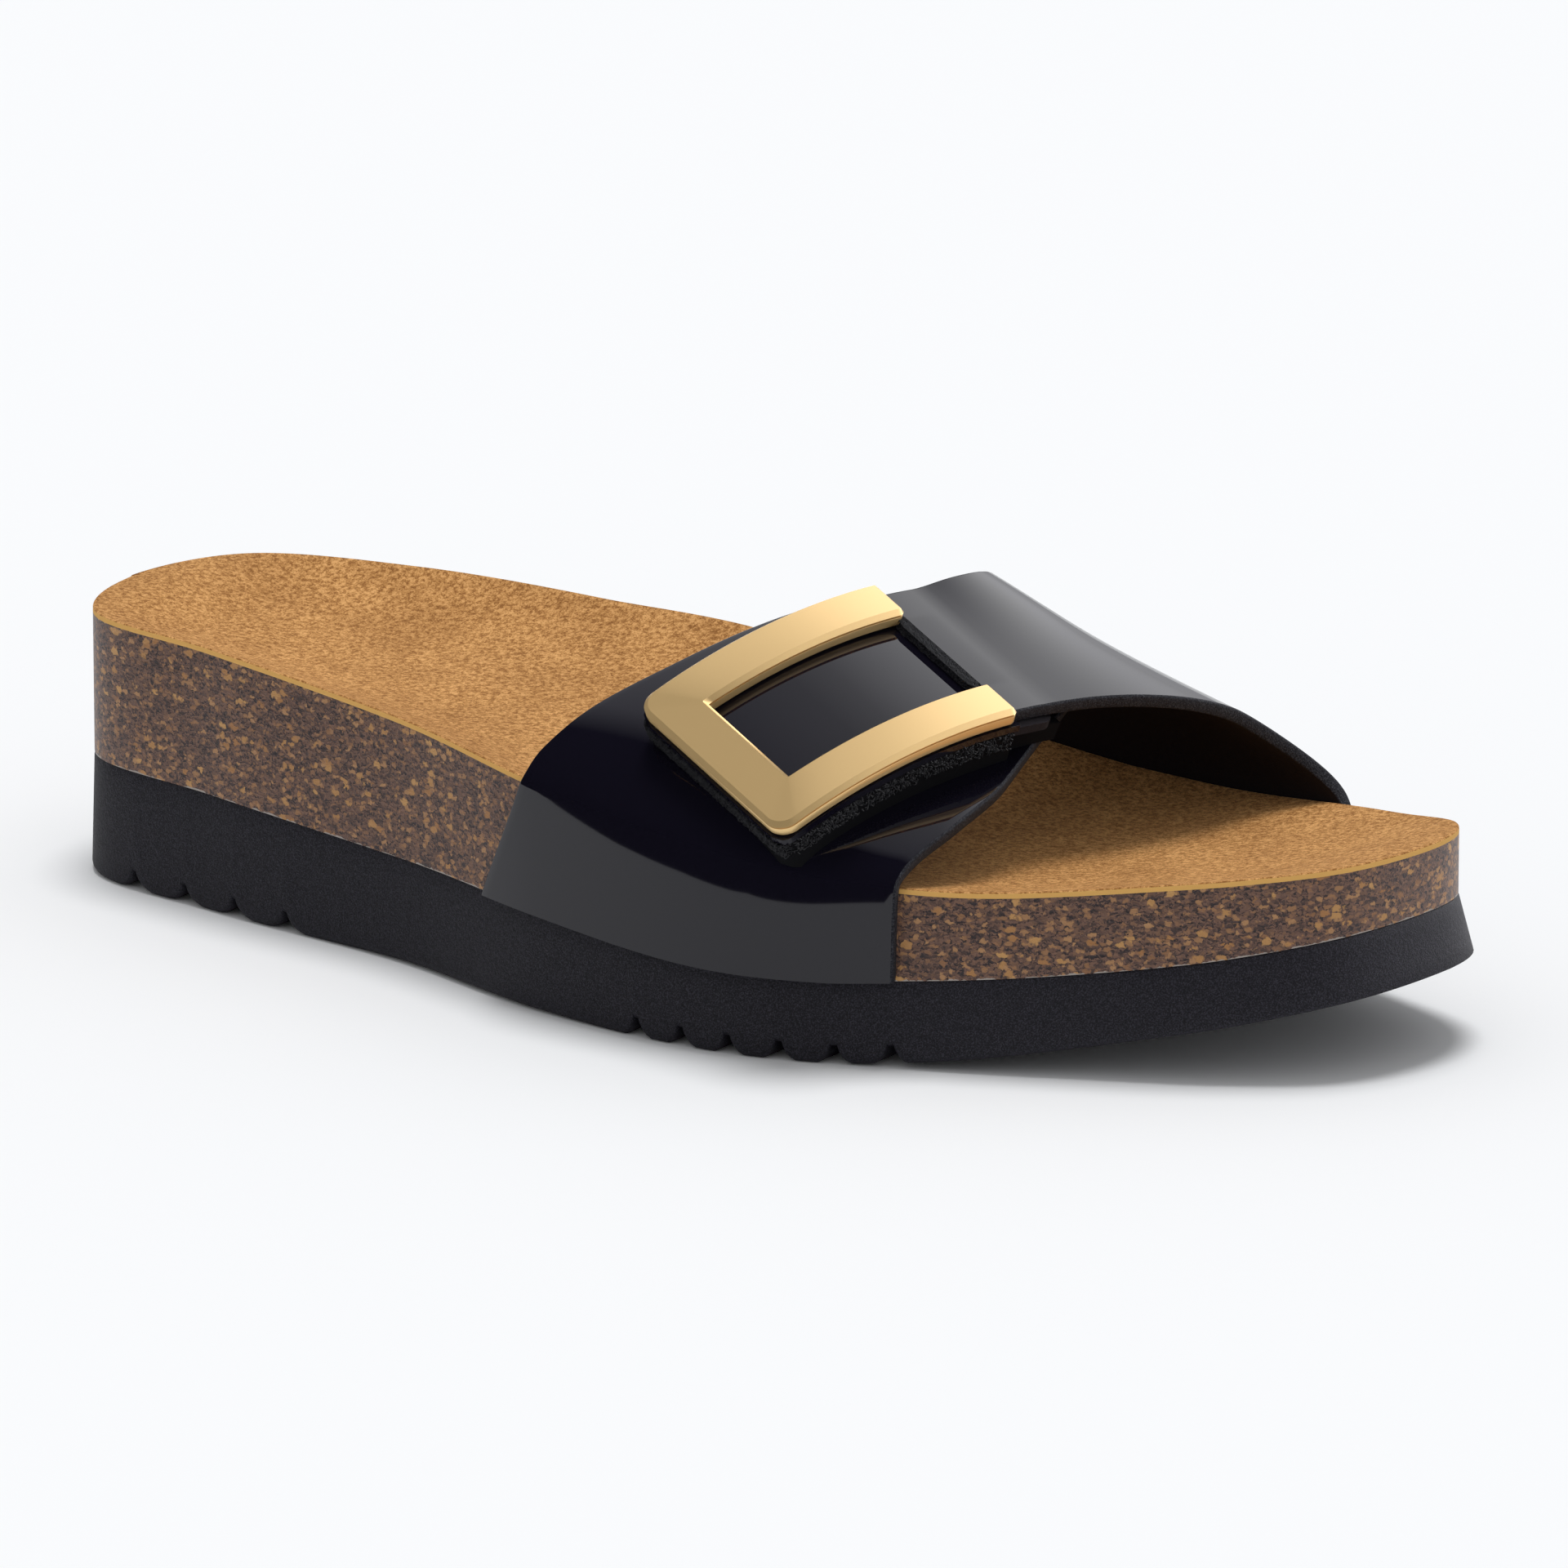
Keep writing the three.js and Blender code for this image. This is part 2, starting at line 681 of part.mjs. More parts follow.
function piece(name, geometry) {
  geometry.computeVertexNormals();
  const mesh = new THREE.Mesh(geometry, new THREE.MeshStandardMaterial(finishes[name]));
  mesh.name = name;
  return mesh;
}

const shoe = new THREE.Group();
shoe.add(piece('outsole', outsoleGeometry()));
shoe.add(piece('midsole', midsoleGeometry()));
shoe.add(piece('insole', insoleGeometry()));
shoe.add(piece('upper', upperGeometry()));
shoe.add(piece('buckle', buckleGeometry(0)));

// The origin lies at the middle of the shoe's box, on the floor.
const box = new THREE.Box3().setFromObject(shoe);
const middle = box.getCenter(new THREE.Vector3());
shoe.position.set(-middle.x, -middle.y, -box.min.z);

export default shoe;
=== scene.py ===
import math
import random

import bmesh
import bpy
import numpy as np
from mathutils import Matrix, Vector


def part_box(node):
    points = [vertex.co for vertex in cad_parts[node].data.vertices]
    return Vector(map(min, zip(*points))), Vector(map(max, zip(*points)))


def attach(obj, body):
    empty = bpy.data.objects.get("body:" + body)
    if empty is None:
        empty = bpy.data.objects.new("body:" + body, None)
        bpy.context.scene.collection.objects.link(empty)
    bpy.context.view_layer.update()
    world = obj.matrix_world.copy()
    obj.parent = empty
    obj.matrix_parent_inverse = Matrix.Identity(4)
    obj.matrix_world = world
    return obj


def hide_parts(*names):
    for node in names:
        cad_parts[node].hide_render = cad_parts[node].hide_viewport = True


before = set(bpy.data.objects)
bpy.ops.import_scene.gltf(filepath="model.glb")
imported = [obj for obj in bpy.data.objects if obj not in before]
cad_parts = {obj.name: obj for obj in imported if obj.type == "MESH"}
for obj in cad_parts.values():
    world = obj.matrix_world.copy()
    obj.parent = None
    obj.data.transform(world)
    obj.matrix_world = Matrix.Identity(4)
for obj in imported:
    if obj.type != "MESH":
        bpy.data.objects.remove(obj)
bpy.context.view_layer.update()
print("frame loaded:", ", ".join(sorted(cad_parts)))

# Sizes are in millimetres in the maker's frame: heel tip at x 0, +X to the toe,
# +Y to the inner side. toMetres moves them into the shared frame.
sole = {
    "length": 252.0,
    "ballWidth": 94.0,
    "outsoleHeel": 20.7,
    "corkHeel": 25.9,
    "toeSpring": 15.0,
    "waistLift": 0.3,
    "waistFrom": 0.25,
    "waistTo": 0.54,
    "waistEase": 0.08,
    "sideFlare": 0.6,
    "toeFlare": 2.0,
    "flareFrom": 0.82,
    "treadRound": 1.4,
    "toeSharpness": 0.7,
    "footbedDepth": 6.0,
    "dishRun": 22.0,
    "dishPower": 2.6,
    "insoleThickness": 1.0,
    "heelTip": (0.0, -0.01),
    "toeTip": (1.0, 0.11),
}

# along, inner half-width, outer half-width
outlineRows = [
    (0.031, 0.235, 0.232),
    (0.15, 0.328, 0.325),
    (0.32, 0.327, 0.408),
    (0.47, 0.33, 0.538),
    (0.62, 0.404, 0.568),
    (0.73, 0.458, 0.48),
    (0.82, 0.43, 0.385),
    (0.92, 0.335, 0.25),
    (0.98, 0.24, 0.11),
]

# along, outsole, outer rim, inner rim, spring, cup
heightRows = np.array([
    (0, 1, 0.97, 0.98, 0, 0.2),
    (0.15, 0.97, 0.974, 1.005, 0, 1),
    (0.3, 0.87, 0.936, 1.08, 0, 0.95),
    (0.45, 0.825, 0.846, 1.06, 0, 0.9),
    (0.6, 0.685, 0.772, 0.76, -0.045, 0.6),
    (0.75, 0.665, 0.581, 0.49, 0.09, 0.4),
    (0.9, 0.55, 0.52, 0.45, 0.56, 0.3),
    (1, 0.48, 0.43, 0.43, 1, 0.1),
])
heightColumns = {"outsole": 1, "outer": 2, "inner": 3, "spring": 4, "cup": 5}


def mix(a, b, share):
    return a + (b - a) * share


def ease(share):
    t = np.clip(share, 0.0, 1.0)
    return t * t * (3 - 2 * t)


# Smooth value of a table's column at places on its first column.
def blend(rows, column, place):
    keys = rows[:, 0]
    values = rows[:, column]
    at = np.clip(place, keys[0], keys[-1])
    row = np.clip(np.searchsorted(keys, at, side="left") - 1, 0, len(keys) - 2)
    before = np.maximum(np.arange(len(keys)) - 1, 0)
    after = np.minimum(np.arange(len(keys)) + 1, len(keys) - 1)
    slopes = (values[after] - values[before]) / (keys[after] - keys[before])
    span = keys[row + 1] - keys[row]
    t = (at - keys[row]) / span
    bow = slopes[row] * t * (1 - t) ** 2 - slopes[row + 1] * t * t * (1 - t)
    return mix(values[row], values[row + 1], t * t * (3 - 2 * t)) + span * bow


# Points and tangents of a closed centripetal curve through the outline's corners.
def outlineCurve(steps):
    corners = [sole["heelTip"]]
    corners += [(along, inner) for along, inner, _ in outlineRows]
    corners.append(sole["toeTip"])
    corners += [(along, -outer) for along, _, outer in reversed(outlineRows)]
    corners = np.array(corners) * (sole["length"], sole["ballWidth"])
    count = len(corners)
    points = []
    tangents = []
    for step in range(steps):
        place = step / steps * count
        index = int(place)
        t = place - index
        p0, p1, p2, p3 = (corners[(index + shift) % count] for shift in (-1, 0, 1, 2))
        d0, d1, d2 = (np.linalg.norm(b - a) ** 0.5 for a, b in ((p0, p1), (p1, p2), (p2, p3)))
        start = ((p1 - p0) / d0 - (p2 - p0) / (d0 + d1) + (p2 - p1) / d1) * d1
        end = ((p2 - p1) / d1 - (p3 - p1) / (d1 + d2) + (p3 - p2) / d2) * d1
        c2 = -3 * p1 + 3 * p2 - 2 * start - end
        c3 = 2 * p1 - 2 * p2 + start + end
        points.append(p1 + start * t + c2 * t * t + c3 * t ** 3)
        tangent = start + 2 * c2 * t + 3 * c3 * t * t
        tangents.append(tangent / np.linalg.norm(tangent))
    return np.array(points), np.array(tangents)


curveSteps = 4000
curvePoints, curveTangents = outlineCurve(curveSteps)
toeIndex = int(curvePoints[:, 0].argmax())
heelIndex = int(np.roll(curvePoints[:, 0], curveSteps // 2).argmin()) - curveSteps // 2
sideRuns = {
    1: np.arange(heelIndex, toeIndex + 1) % curveSteps,
    -1: np.arange(heelIndex + curveSteps, toeIndex - 1, -1) % curveSteps,
}
heelX = curvePoints[heelIndex, 0]
toeX = curvePoints[toeIndex, 0]
curveNormals = np.stack([-curveTangents[:, 1], curveTangents[:, 0]], axis=1)
edgeRuns = {}  # the outline's two sides, kept by side and distance


# Place across of the outline's edge at x, moved out by a distance.
def edgeAt(side, x, distance=0.0):
    if (side, distance) not in edgeRuns:
        moved = (curvePoints + distance * curveNormals)[sideRuns[side]]
        edgeRuns[side, distance] = np.maximum.accumulate(moved[:, 0]), moved[:, 1]
    return np.interp(x, *edgeRuns[side, distance])


# One side of the outline at the given stations, moved out along its normal.
def sideAt(side, stations, distance):
    points = curvePoints[sideRuns[side]]
    normals = curveNormals[sideRuns[side]]
    place = np.interp(stations, points[:, 0], np.arange(len(points)))
    low = np.minimum(place.astype(int), len(points) - 2)
    share = (place - low)[:, None]
    base = mix(points[low], points[low + 1], share)
    return base + mix(normals[low], normals[low + 1], share) * np.reshape(distance, (-1, 1))


def column(name, x):
    return blend(heightRows, heightColumns[name], x / sole["length"])


def springAt(x):
    return sole["toeSpring"] * np.maximum(0, column("spring", x))


def treadHeight(x):
    place = x / sole["length"]
    rise = ease((place - sole["waistFrom"]) / sole["waistEase"])
    fall = ease((sole["waistTo"] - place) / sole["waistEase"])
    return springAt(x) + sole["waistLift"] * rise * fall


def outsoleTop(x):
    return springAt(x) + sole["outsoleHeel"] * column("outsole", x)


def rimHeight(side, x):
    return outsoleTop(x) + sole["corkHeel"] * column("inner" if side > 0 else "outer", x)


def footbedHeight(x, y):
    inner = edgeAt(1, x)
    outer = edgeAt(-1, x)
    share = np.clip((y - outer) / np.maximum(inner - outer, 0.3), 0, 1)
    rim = mix(rimHeight(-1, x), rimHeight(1, x), share)
    ends = ease(x / sole["dishRun"]) * ease((sole["length"] - x) / sole["dishRun"])
    dish = 1 - np.abs(2 * share - 1) ** sole["dishPower"]
    return rim - sole["footbedDepth"] * column("cup", x) * ends * dish


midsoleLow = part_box("midsole")[0]
shift = np.array([
    midsoleLow[0] * 1000,
    midsoleLow[1] * 1000 - curvePoints[:, 1].min(),
    0.0,
])


def toMetres(points):
    return (np.asarray(points) + shift) * 0.001


def addObject(name, data):
    made = bpy.data.objects.new(name, data)
    bpy.context.collection.objects.link(made)
    return made


# A mesh object from millimetre points, with its edges kept sharp past an angle.
def makeObject(name, points, faces, materials, sharpAngle, faceSlots=None):
    mesh = bpy.data.meshes.new(name)
    mesh.from_pydata(toMetres(points).tolist(), [], faces)
    for material in materials:
        mesh.materials.append(material)
    if faceSlots is not None:
        mesh.polygons.foreach_set("material_index", faceSlots)
    work = bmesh.new()
    work.from_mesh(mesh)
    bmesh.ops.remove_doubles(work, verts=work.verts, dist=1e-6)
    bmesh.ops.recalc_face_normals(work, faces=work.faces)
    work.to_mesh(mesh)
    work.free()
    mesh.shade_smooth()
    mesh.set_sharp_from_angle(angle=math.radians(sharpAngle))
    return addObject(name, mesh)


# Points and faces of a loft through closed rings, with a face over each end.
def loft(rings):
    rings = np.asarray(rings)
    count, size = rings.shape[:2]
    faces = []
    for here in range(0, (count - 1) * size, size):
        for k in range(size):
            after = (k + 1) % size
            faces.append((here + k, here + size + k, here + size + after, here + after))
    faces.append(tuple(range(size)))
    faces.append(tuple(reversed(range((count - 1) * size, count * size))))
    return rings.reshape(-1, 3), faces


# Rows of points up one side of the sole, from pairs of a distance out and a height.
def wallRows(side, stations, layers):
    return [np.column_stack([sideAt(side, stations, out), height]) for out, height in layers]


# Stations from heel to toe, closer together towards the two round ends.
def soleStations(count, extra=()):
    angle = np.linspace(0, math.pi, count)
    ends = (1 - np.cos(angle)) / 2
    even = np.linspace(0, 1, count)
    stations = mix(heelX, toeX, mix(even, ends, 0.7))
    close = np.array([0.004, 0.015, 0.035, 0.07, 0.12, 0.19])
    tips = [heelX + close, toeX - close]
    return np.unique(np.concatenate([stations, *tips, np.asarray(extra, dtype=float)]))


def link(tree, source, target):
    tree.links.new(source, target)


def node(tree, kind, **values):
    made = tree.nodes.new(kind)
    for name, value in values.items():
        setattr(made, name, value)
    return made


# A material whose plain values come from its dictionary.
def newMaterial(name, look):
    material = bpy.data.materials.new(name)
    material.use_nodes = True
    tree = material.node_tree
    shader = tree.nodes["Principled BSDF"]
    shader.inputs["Base Color"].default_value = (*look["colour"], 1)
    shader.inputs["Roughness"].default_value = look["roughness"]
    shader.inputs["Specular IOR Level"].default_value = look["specular"]
    return material, tree, shader


def newGroup(name, inputs, outputs):
    group = bpy.data.node_groups.new(name, "ShaderNodeTree")
    for label, kind, value in inputs:
        socket = group.interface.new_socket(label, in_out="INPUT", socket_type=kind)
        socket.default_value = value
    for label, kind in outputs:
        group.interface.new_socket(label, in_out="OUTPUT", socket_type=kind)
    start = group.nodes.new("NodeGroupInput")
    end = group.nodes.new("NodeGroupOutput")
    return group, start, end


def useGroup(tree, group, values):
    placed = tree.nodes.new("ShaderNodeGroup")
    placed.node_tree = group
    for socket, value in zip(placed.inputs, values):
        socket.default_value = value
    return placed


def ramp(tree, source, stops):
    made = tree.nodes.new("ShaderNodeValToRGB")
    elements = made.color_ramp.elements
    while len(elements) < len(stops):
        elements.new(0.5)
    for element, (place, colour) in zip(elements, stops):
        element.position = place
        element.color = (*colour, 1)
    link(tree, source, made.inputs["Fac"])
    return made.outputs["Color"]


# A mix of colours. Each input is another node's output or a plain value.
def mixColours(tree, factor, a, b, blendType="MIX"):
    made = node(tree, "ShaderNodeMix", data_type="RGBA", blend_type=blendType)
    for name, value in (("Factor", factor), ("A", a), ("B", b)):
        if isinstance(value, bpy.types.NodeSocket):
            link(tree, value, made.inputs[name])
        else:
            made.inputs[name].default_value = value
    return made.outputs["Result"]


# Fine grain as a height and a mask, from coarse noise of a size in millimetres and
# noise some three times as fine.
def grainGroup():
    group, start, end = newGroup(
        "fineGrain",
        [("Size mm", "NodeSocketFloat", 1.0), ("Fine share", "NodeSocketFloat", 0.4)],
        [("Height", "NodeSocketFloat"), ("Mask", "NodeSocketFloat")],
    )
    place = group.nodes.new("ShaderNodeTexCoord")
    scale = node(group, "ShaderNodeMath", operation="DIVIDE")
    scale.inputs[0].default_value = 1000.0
    link(group, start.outputs["Size mm"], scale.inputs[1])
    coarse = node(group, "ShaderNodeTexNoise")
    coarse.inputs["Detail"].default_value = 2.0
    link(group, place.outputs["Object"], coarse.inputs["Vector"])
    link(group, scale.outputs[0], coarse.inputs["Scale"])
    finer = node(group, "ShaderNodeMath", operation="MULTIPLY")
    finer.inputs[1].default_value = 3.1
    link(group, scale.outputs[0], finer.inputs[0])
    fine = node(group, "ShaderNodeTexNoise")
    fine.inputs["Detail"].default_value = 3.0
    link(group, place.outputs["Object"], fine.inputs["Vector"])
    link(group, finer.outputs[0], fine.inputs["Scale"])
    both = node(group, "ShaderNodeMix", data_type="FLOAT")
    link(group, start.outputs["Fine share"], both.inputs["Factor"])
    link(group, coarse.outputs["Fac"], both.inputs["A"])
    link(group, fine.outputs["Fac"], both.inputs["B"])
    link(group, both.outputs["Result"], end.inputs["Height"])
    link(group, fine.outputs["Fac"], end.inputs["Mask"])
    return group


fineGrain = grainGroup()


def addBump(tree, shader, height, bumpValues):
    strength, depthMm = bumpValues
    bump = tree.nodes.new("ShaderNodeBump")
    bump.inputs["Strength"].default_value = strength
    bump.inputs["Distance"].default_value = depthMm * 0.001
    link(tree, height, bump.inputs["Height"])
    link(tree, bump.outputs["Normal"], shader.inputs["Normal"])


# A material of one colour with a grainy bump.
def grainyMaterial(name, look):
    material, tree, shader = newMaterial(name, look)
    grain = useGroup(tree, fineGrain, look["grain"])
    addBump(tree, shader, grain.outputs["Height"], look["bump"])
    return material


# Outsole: moulded foam, near black, with notches across the tread. In every piece's
# values grain is a size in millimetres and the share of finer grain, and bump is a
# strength and a depth in millimetres.
outsoleLook = {
    "colour": (0.003, 0.0025, 0.006),
    "speckle": (0.03, 0.028, 0.04),
    "grain": (0.7, 0.45),
    "bump": (0.8, 0.3),
    "roughness": 0.62,
    "specular": 0.3,
    "lugDepth": 3.0,
    "heelNotch": {"count": 4, "first": 19.4, "pitch": 11.8, "mouth": 8.4, "crown": 0.8, "flank": 0.75},
    "foreNotch": {"count": 6, "first": 138.0, "pitch": 8.8, "mouth": 5.4, "crown": 1.0, "flank": 0.6},
    "topRound": 0.5,
    "stations": 260,
}


def foamMaterial():
    look = outsoleLook
    material, tree, shader = newMaterial("moulded foam", look)
    grain = useGroup(tree, fineGrain, look["grain"])
    colour = ramp(tree, grain.outputs["Mask"], [(0.44, look["colour"]), (0.66, look["speckle"])])
    link(tree, colour, shader.inputs["Base Color"])
    addBump(tree, shader, grain.outputs["Height"], look["bump"])
    return material


# Profile of one notch as offsets along the sole and depths above the tread.
def notchProfile(notch):
    mouth = notch["mouth"] / 2
    crown = notch["crown"] / 2
    depth = outsoleLook["lugDepth"]
    control = (mix((mouth + crown) / 2, crown, notch["flank"]), mix(depth / 2, 0, notch["flank"]))
    t = np.linspace(0, 1, 9)
    away = (1 - t) ** 2 * mouth + 2 * t * (1 - t) * control[0] + t * t * crown
    high = 2 * t * (1 - t) * control[1] + t * t * depth
    return away, high


def notchDepth(x):
    depth = np.zeros_like(x)
    for notch in (outsoleLook["heelNotch"], outsoleLook["foreNotch"]):
        away, high = notchProfile(notch)
        for k in range(notch["count"]):
            distance = np.abs(x - notch["first"] - k * notch["pitch"])
            depth = np.maximum(depth, np.interp(distance, away[::-1], high[::-1], right=0.0))
    return depth


def notchStations():
    places = []
    for notch in (outsoleLook["heelNotch"], outsoleLook["foreNotch"]):
        away, _ = notchProfile(notch)
        for k in range(notch["count"]):
            centre = notch["first"] + k * notch["pitch"]
            places += list(centre - away) + list(centre + away)
    return places


def makeOutsole():
    stations = soleStations(outsoleLook["stations"], notchStations())
    toeShare = ease((stations / sole["length"] - sole["flareFrom"]) / (1 - sole["flareFrom"]))
    edge = sole["treadRound"] * (1 - sole["toeSharpness"] * toeShare)
    flare = sole["sideFlare"] + sole["toeFlare"] * toeShare
    low = treadHeight(stations) + notchDepth(stations)
    high = outsoleTop(stations)
    layers = []
    for angle in np.linspace(0, math.pi / 2, 5):
        layers.append((flare - edge * (1 - math.sin(angle)), low + edge * (1 - math.cos(angle))))
    for share in (0.25, 0.5, 0.75, 0.95):
        layers.append((flare * (1 - share), mix(low + edge, high, share)))
    layers.append((np.full_like(stations, -outsoleLook["topRound"] * 0.3), high - 0.1))
    layers.append((np.full_like(stations, -outsoleLook["topRound"]), high))
    inner = wallRows(1, stations, layers)
    outer = wallRows(-1, stations, layers)
    across = np.linspace(0, 1, 18)[1:-1]
    ring = list(inner)
    ring += [mix(inner[-1], outer[-1], share) for share in across]
    ring += outer[::-1]
    ring += [mix(outer[0], inner[0], share) for share in across]
    rings = np.stack(ring, axis=1)
    points, faces = loft(rings)
    piece = makeObject("outsole.foam", points, faces, [foamMaterial()], 50)
    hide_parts("outsole")
    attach(piece, "root")
    print("outsole made")


# Midsole: granulated cork, sealed, with a thin broken pale line of painted highlight along its foot
# over the outsole. A layer of grains has a size in millimetres, the share of cells that it fills, and
# two colours.
corkLook = {
    "colour": (0.02, 0.011, 0.013),
    "groundWarm": (0.19, 0.095, 0.06),
    "layers": [
        (1.0, 0.42, (0.13, 0.065, 0.04), (0.27, 0.13, 0.06)),
        (1.35, 0.3, (0.24, 0.11, 0.045), (0.42, 0.22, 0.09)),
        (1.9, 0.12, (0.34, 0.15, 0.045), (0.52, 0.28, 0.09)),
    ],
    "groundMm": 0.5,
    "grainEdge": (0.56, 0.4),
    "squash": (1.0, 1.0, 1.5),
    "warpScale": 1100.0,
    "warpReach": 0.0011,
    "roughness": 0.42,
    "specular": 0.5,
    "bump": (0.35, 0.25),
    # painted highlight along the cork's foot: its colour, width in millimetres, grain and breaks
    "edgeHighlightColour": (0.34, 0.3, 0.27),
    "edgeHighlightMm": 0.32,
    "edgeHighlightGrain": (3.0, 0.4),
    "edgeHighlightBreaks": (0.46, 0.6),
    "jointLayers": (0.35, 0.9),
    "stations": 220,
}


def corkMaterial():
    look = corkLook
    material, tree, shader = newMaterial("granulated cork", look)
    place = tree.nodes.new("ShaderNodeTexCoord")
    squash = node(tree, "ShaderNodeVectorMath", operation="MULTIPLY")
    squash.inputs[1].default_value = look["squash"]
    link(tree, place.outputs["Object"], squash.inputs[0])
    warp = node(tree, "ShaderNodeTexNoise")
    warp.inputs["Scale"].default_value = look["warpScale"]
    warp.inputs["Detail"].default_value = 3.0
    link(tree, place.outputs["Object"], warp.inputs["Vector"])
    shiftPlace = node(tree, "ShaderNodeMixRGB", blend_type="LINEAR_LIGHT")
    shiftPlace.inputs["Fac"].default_value = look["warpReach"]
    link(tree, squash.outputs["Vector"], shiftPlace.inputs["Color1"])
    link(tree, warp.outputs["Color"], shiftPlace.inputs["Color2"])

    def cells(sizeMm):
        made = node(tree, "ShaderNodeTexVoronoi", feature="F1")
        made.inputs["Scale"].default_value = 1000.0 / sizeMm
        made.inputs["Randomness"].default_value = 1.0
        link(tree, shiftPlace.outputs["Color"], made.inputs["Vector"])
        parts = node(tree, "ShaderNodeSeparateColor")
        link(tree, made.outputs["Color"], parts.inputs["Color"])
        return made, parts

    base, baseParts = cells(look["groundMm"])
    colour = ramp(tree, baseParts.outputs["Red"], [(0.1, look["colour"]), (0.95, look["groundWarm"])])
    for sizeMm, filled, dark, pale in look["layers"]:
        grains, parts = cells(sizeMm)
        chosen = node(tree, "ShaderNodeMath", operation="LESS_THAN")
        chosen.inputs[1].default_value = filled
        link(tree, parts.outputs["Green"], chosen.inputs[0])
        core = node(tree, "ShaderNodeMapRange", clamp=True)
        core.inputs["From Min"].default_value, core.inputs["From Max"].default_value = look["grainEdge"]
        link(tree, grains.outputs["Distance"], core.inputs["Value"])
        mask = node(tree, "ShaderNodeMath", operation="MULTIPLY")
        link(tree, chosen.outputs[0], mask.inputs[0])
        link(tree, core.outputs["Result"], mask.inputs[1])
        tint = ramp(tree, parts.outputs["Blue"], [(0.0, dark), (1.0, pale)])
        colour = mixColours(tree, mask.outputs[0], colour, tint)

    # Painted highlight: a thin broken pale line along the cork's foot, just over its joint with the
    # outsole
    joint = node(tree, "ShaderNodeAttribute", attribute_name="overJoint")
    grain = useGroup(tree, fineGrain, look["edgeHighlightGrain"])
    level = node(tree, "ShaderNodeMapRange", clamp=True)
    level.inputs["From Min"].default_value, level.inputs["From Max"].default_value = look["edgeHighlightBreaks"]
    level.inputs["To Max"].default_value = look["edgeHighlightMm"]
    link(tree, grain.outputs["Height"], level.inputs["Value"])
    near = node(tree, "ShaderNodeMath", operation="LESS_THAN")
    link(tree, joint.outputs["Fac"], near.inputs[0])
    link(tree, level.outputs["Result"], near.inputs[1])
    colour = mixColours(tree, near.outputs[0], colour, (*look["edgeHighlightColour"], 1))
    link(tree, colour, shader.inputs["Base Color"])
    addBump(tree, shader, base.outputs["Distance"], look["bump"])
    return material


def makeCork():
    stations = soleStations(corkLook["stations"])
    low = outsoleTop(stations)
    first, second = corkLook["jointLayers"]

    def wall(side):
        top = rimHeight(side, stations) - sole["insoleThickness"]
        heights = [mix(low + second, top, share) for share in (0, 0.33, 0.66)]
        heights = [low, low + first, *heights, top]
        return wallRows(side, stations, [(0.0, height) for height in heights])

    inner = wall(1)
    outer = wall(-1)
    across = np.linspace(0, 1, 14)[1:-1]
    ring = list(inner)
    for share in across:
        plan = mix(inner[-1], outer[-1], share)
        plan[:, 2] = footbedHeight(plan[:, 0], plan[:, 1]) - sole["insoleThickness"]
        ring.append(plan)
    ring += outer[::-1]
    ring += [mix(outer[0], inner[0], share) for share in across]
    rings = np.stack(ring, axis=1)
    points, faces = loft(rings)
    piece = makeObject("midsole.cork", points, faces, [corkMaterial()], 50)
    mesh = piece.data
    over = mesh.attributes.new("overJoint", "FLOAT", "POINT")
    coordinates = np.empty(len(mesh.vertices) * 3)
    mesh.vertices.foreach_get("co", coordinates)
    coordinates = coordinates.reshape(-1, 3) * 1000 - shift
    over.data.foreach_set("value", coordinates[:, 2] - outsoleTop(coordinates[:, 0]))
    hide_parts("midsole")
    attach(piece, "root")
    print("cork midsole made")


# Insole: brushed suede over the dished footbed, its cut edge a little paler
suedeLook = {
    "colour": (0.53, 0.268, 0.09),
    "dark": (0.29, 0.125, 0.036),
    "pale": (0.76, 0.42, 0.165),
    "nap": (0.9, 0.5),
    "drift": (16.0, 0.35),
    "driftDark": (0.86, 0.82, 0.78),
    "driftPale": (1.05, 1.04, 1.03),
    "bump": (0.6, 0.3),
    "roughness": 0.92,
    "specular": 0.2,
    "sheen": 0.15,
    "sheenTint": (0.95, 0.6, 0.3),
    "edgeRound": 0.35,
    "stations": 240,
    "edge": {
        "colour": (0.7, 0.4, 0.12),
        "grain": (0.6, 0.5),
        "bump": (0.5, 0.15),
        "roughness": 0.9,
        "specular": 0.2,
    },
}


def suedeMaterial():
    look = suedeLook
    material, tree, shader = newMaterial("brushed suede", look)
    nap = useGroup(tree, fineGrain, look["nap"])
    wide = useGroup(tree, fineGrain, look["drift"])
    napStops = [(0.4, look["dark"]), (0.5, look["colour"]), (0.6, look["pale"])]
    fine = ramp(tree, nap.outputs["Height"], napStops)
    drift = ramp(tree, wide.outputs["Height"], [(0.38, look["driftDark"]), (0.62, look["driftPale"])])
    tinted = mixColours(tree, 1.0, fine, drift, "MULTIPLY")
    link(tree, tinted, shader.inputs["Base Color"])
    shader.inputs["Sheen Weight"].default_value = look["sheen"]
    shader.inputs["Sheen Roughness"].default_value = 0.5
    shader.inputs["Sheen Tint"].default_value = (*look["sheenTint"], 1)
    addBump(tree, shader, nap.outputs["Height"], look["bump"])
    return material


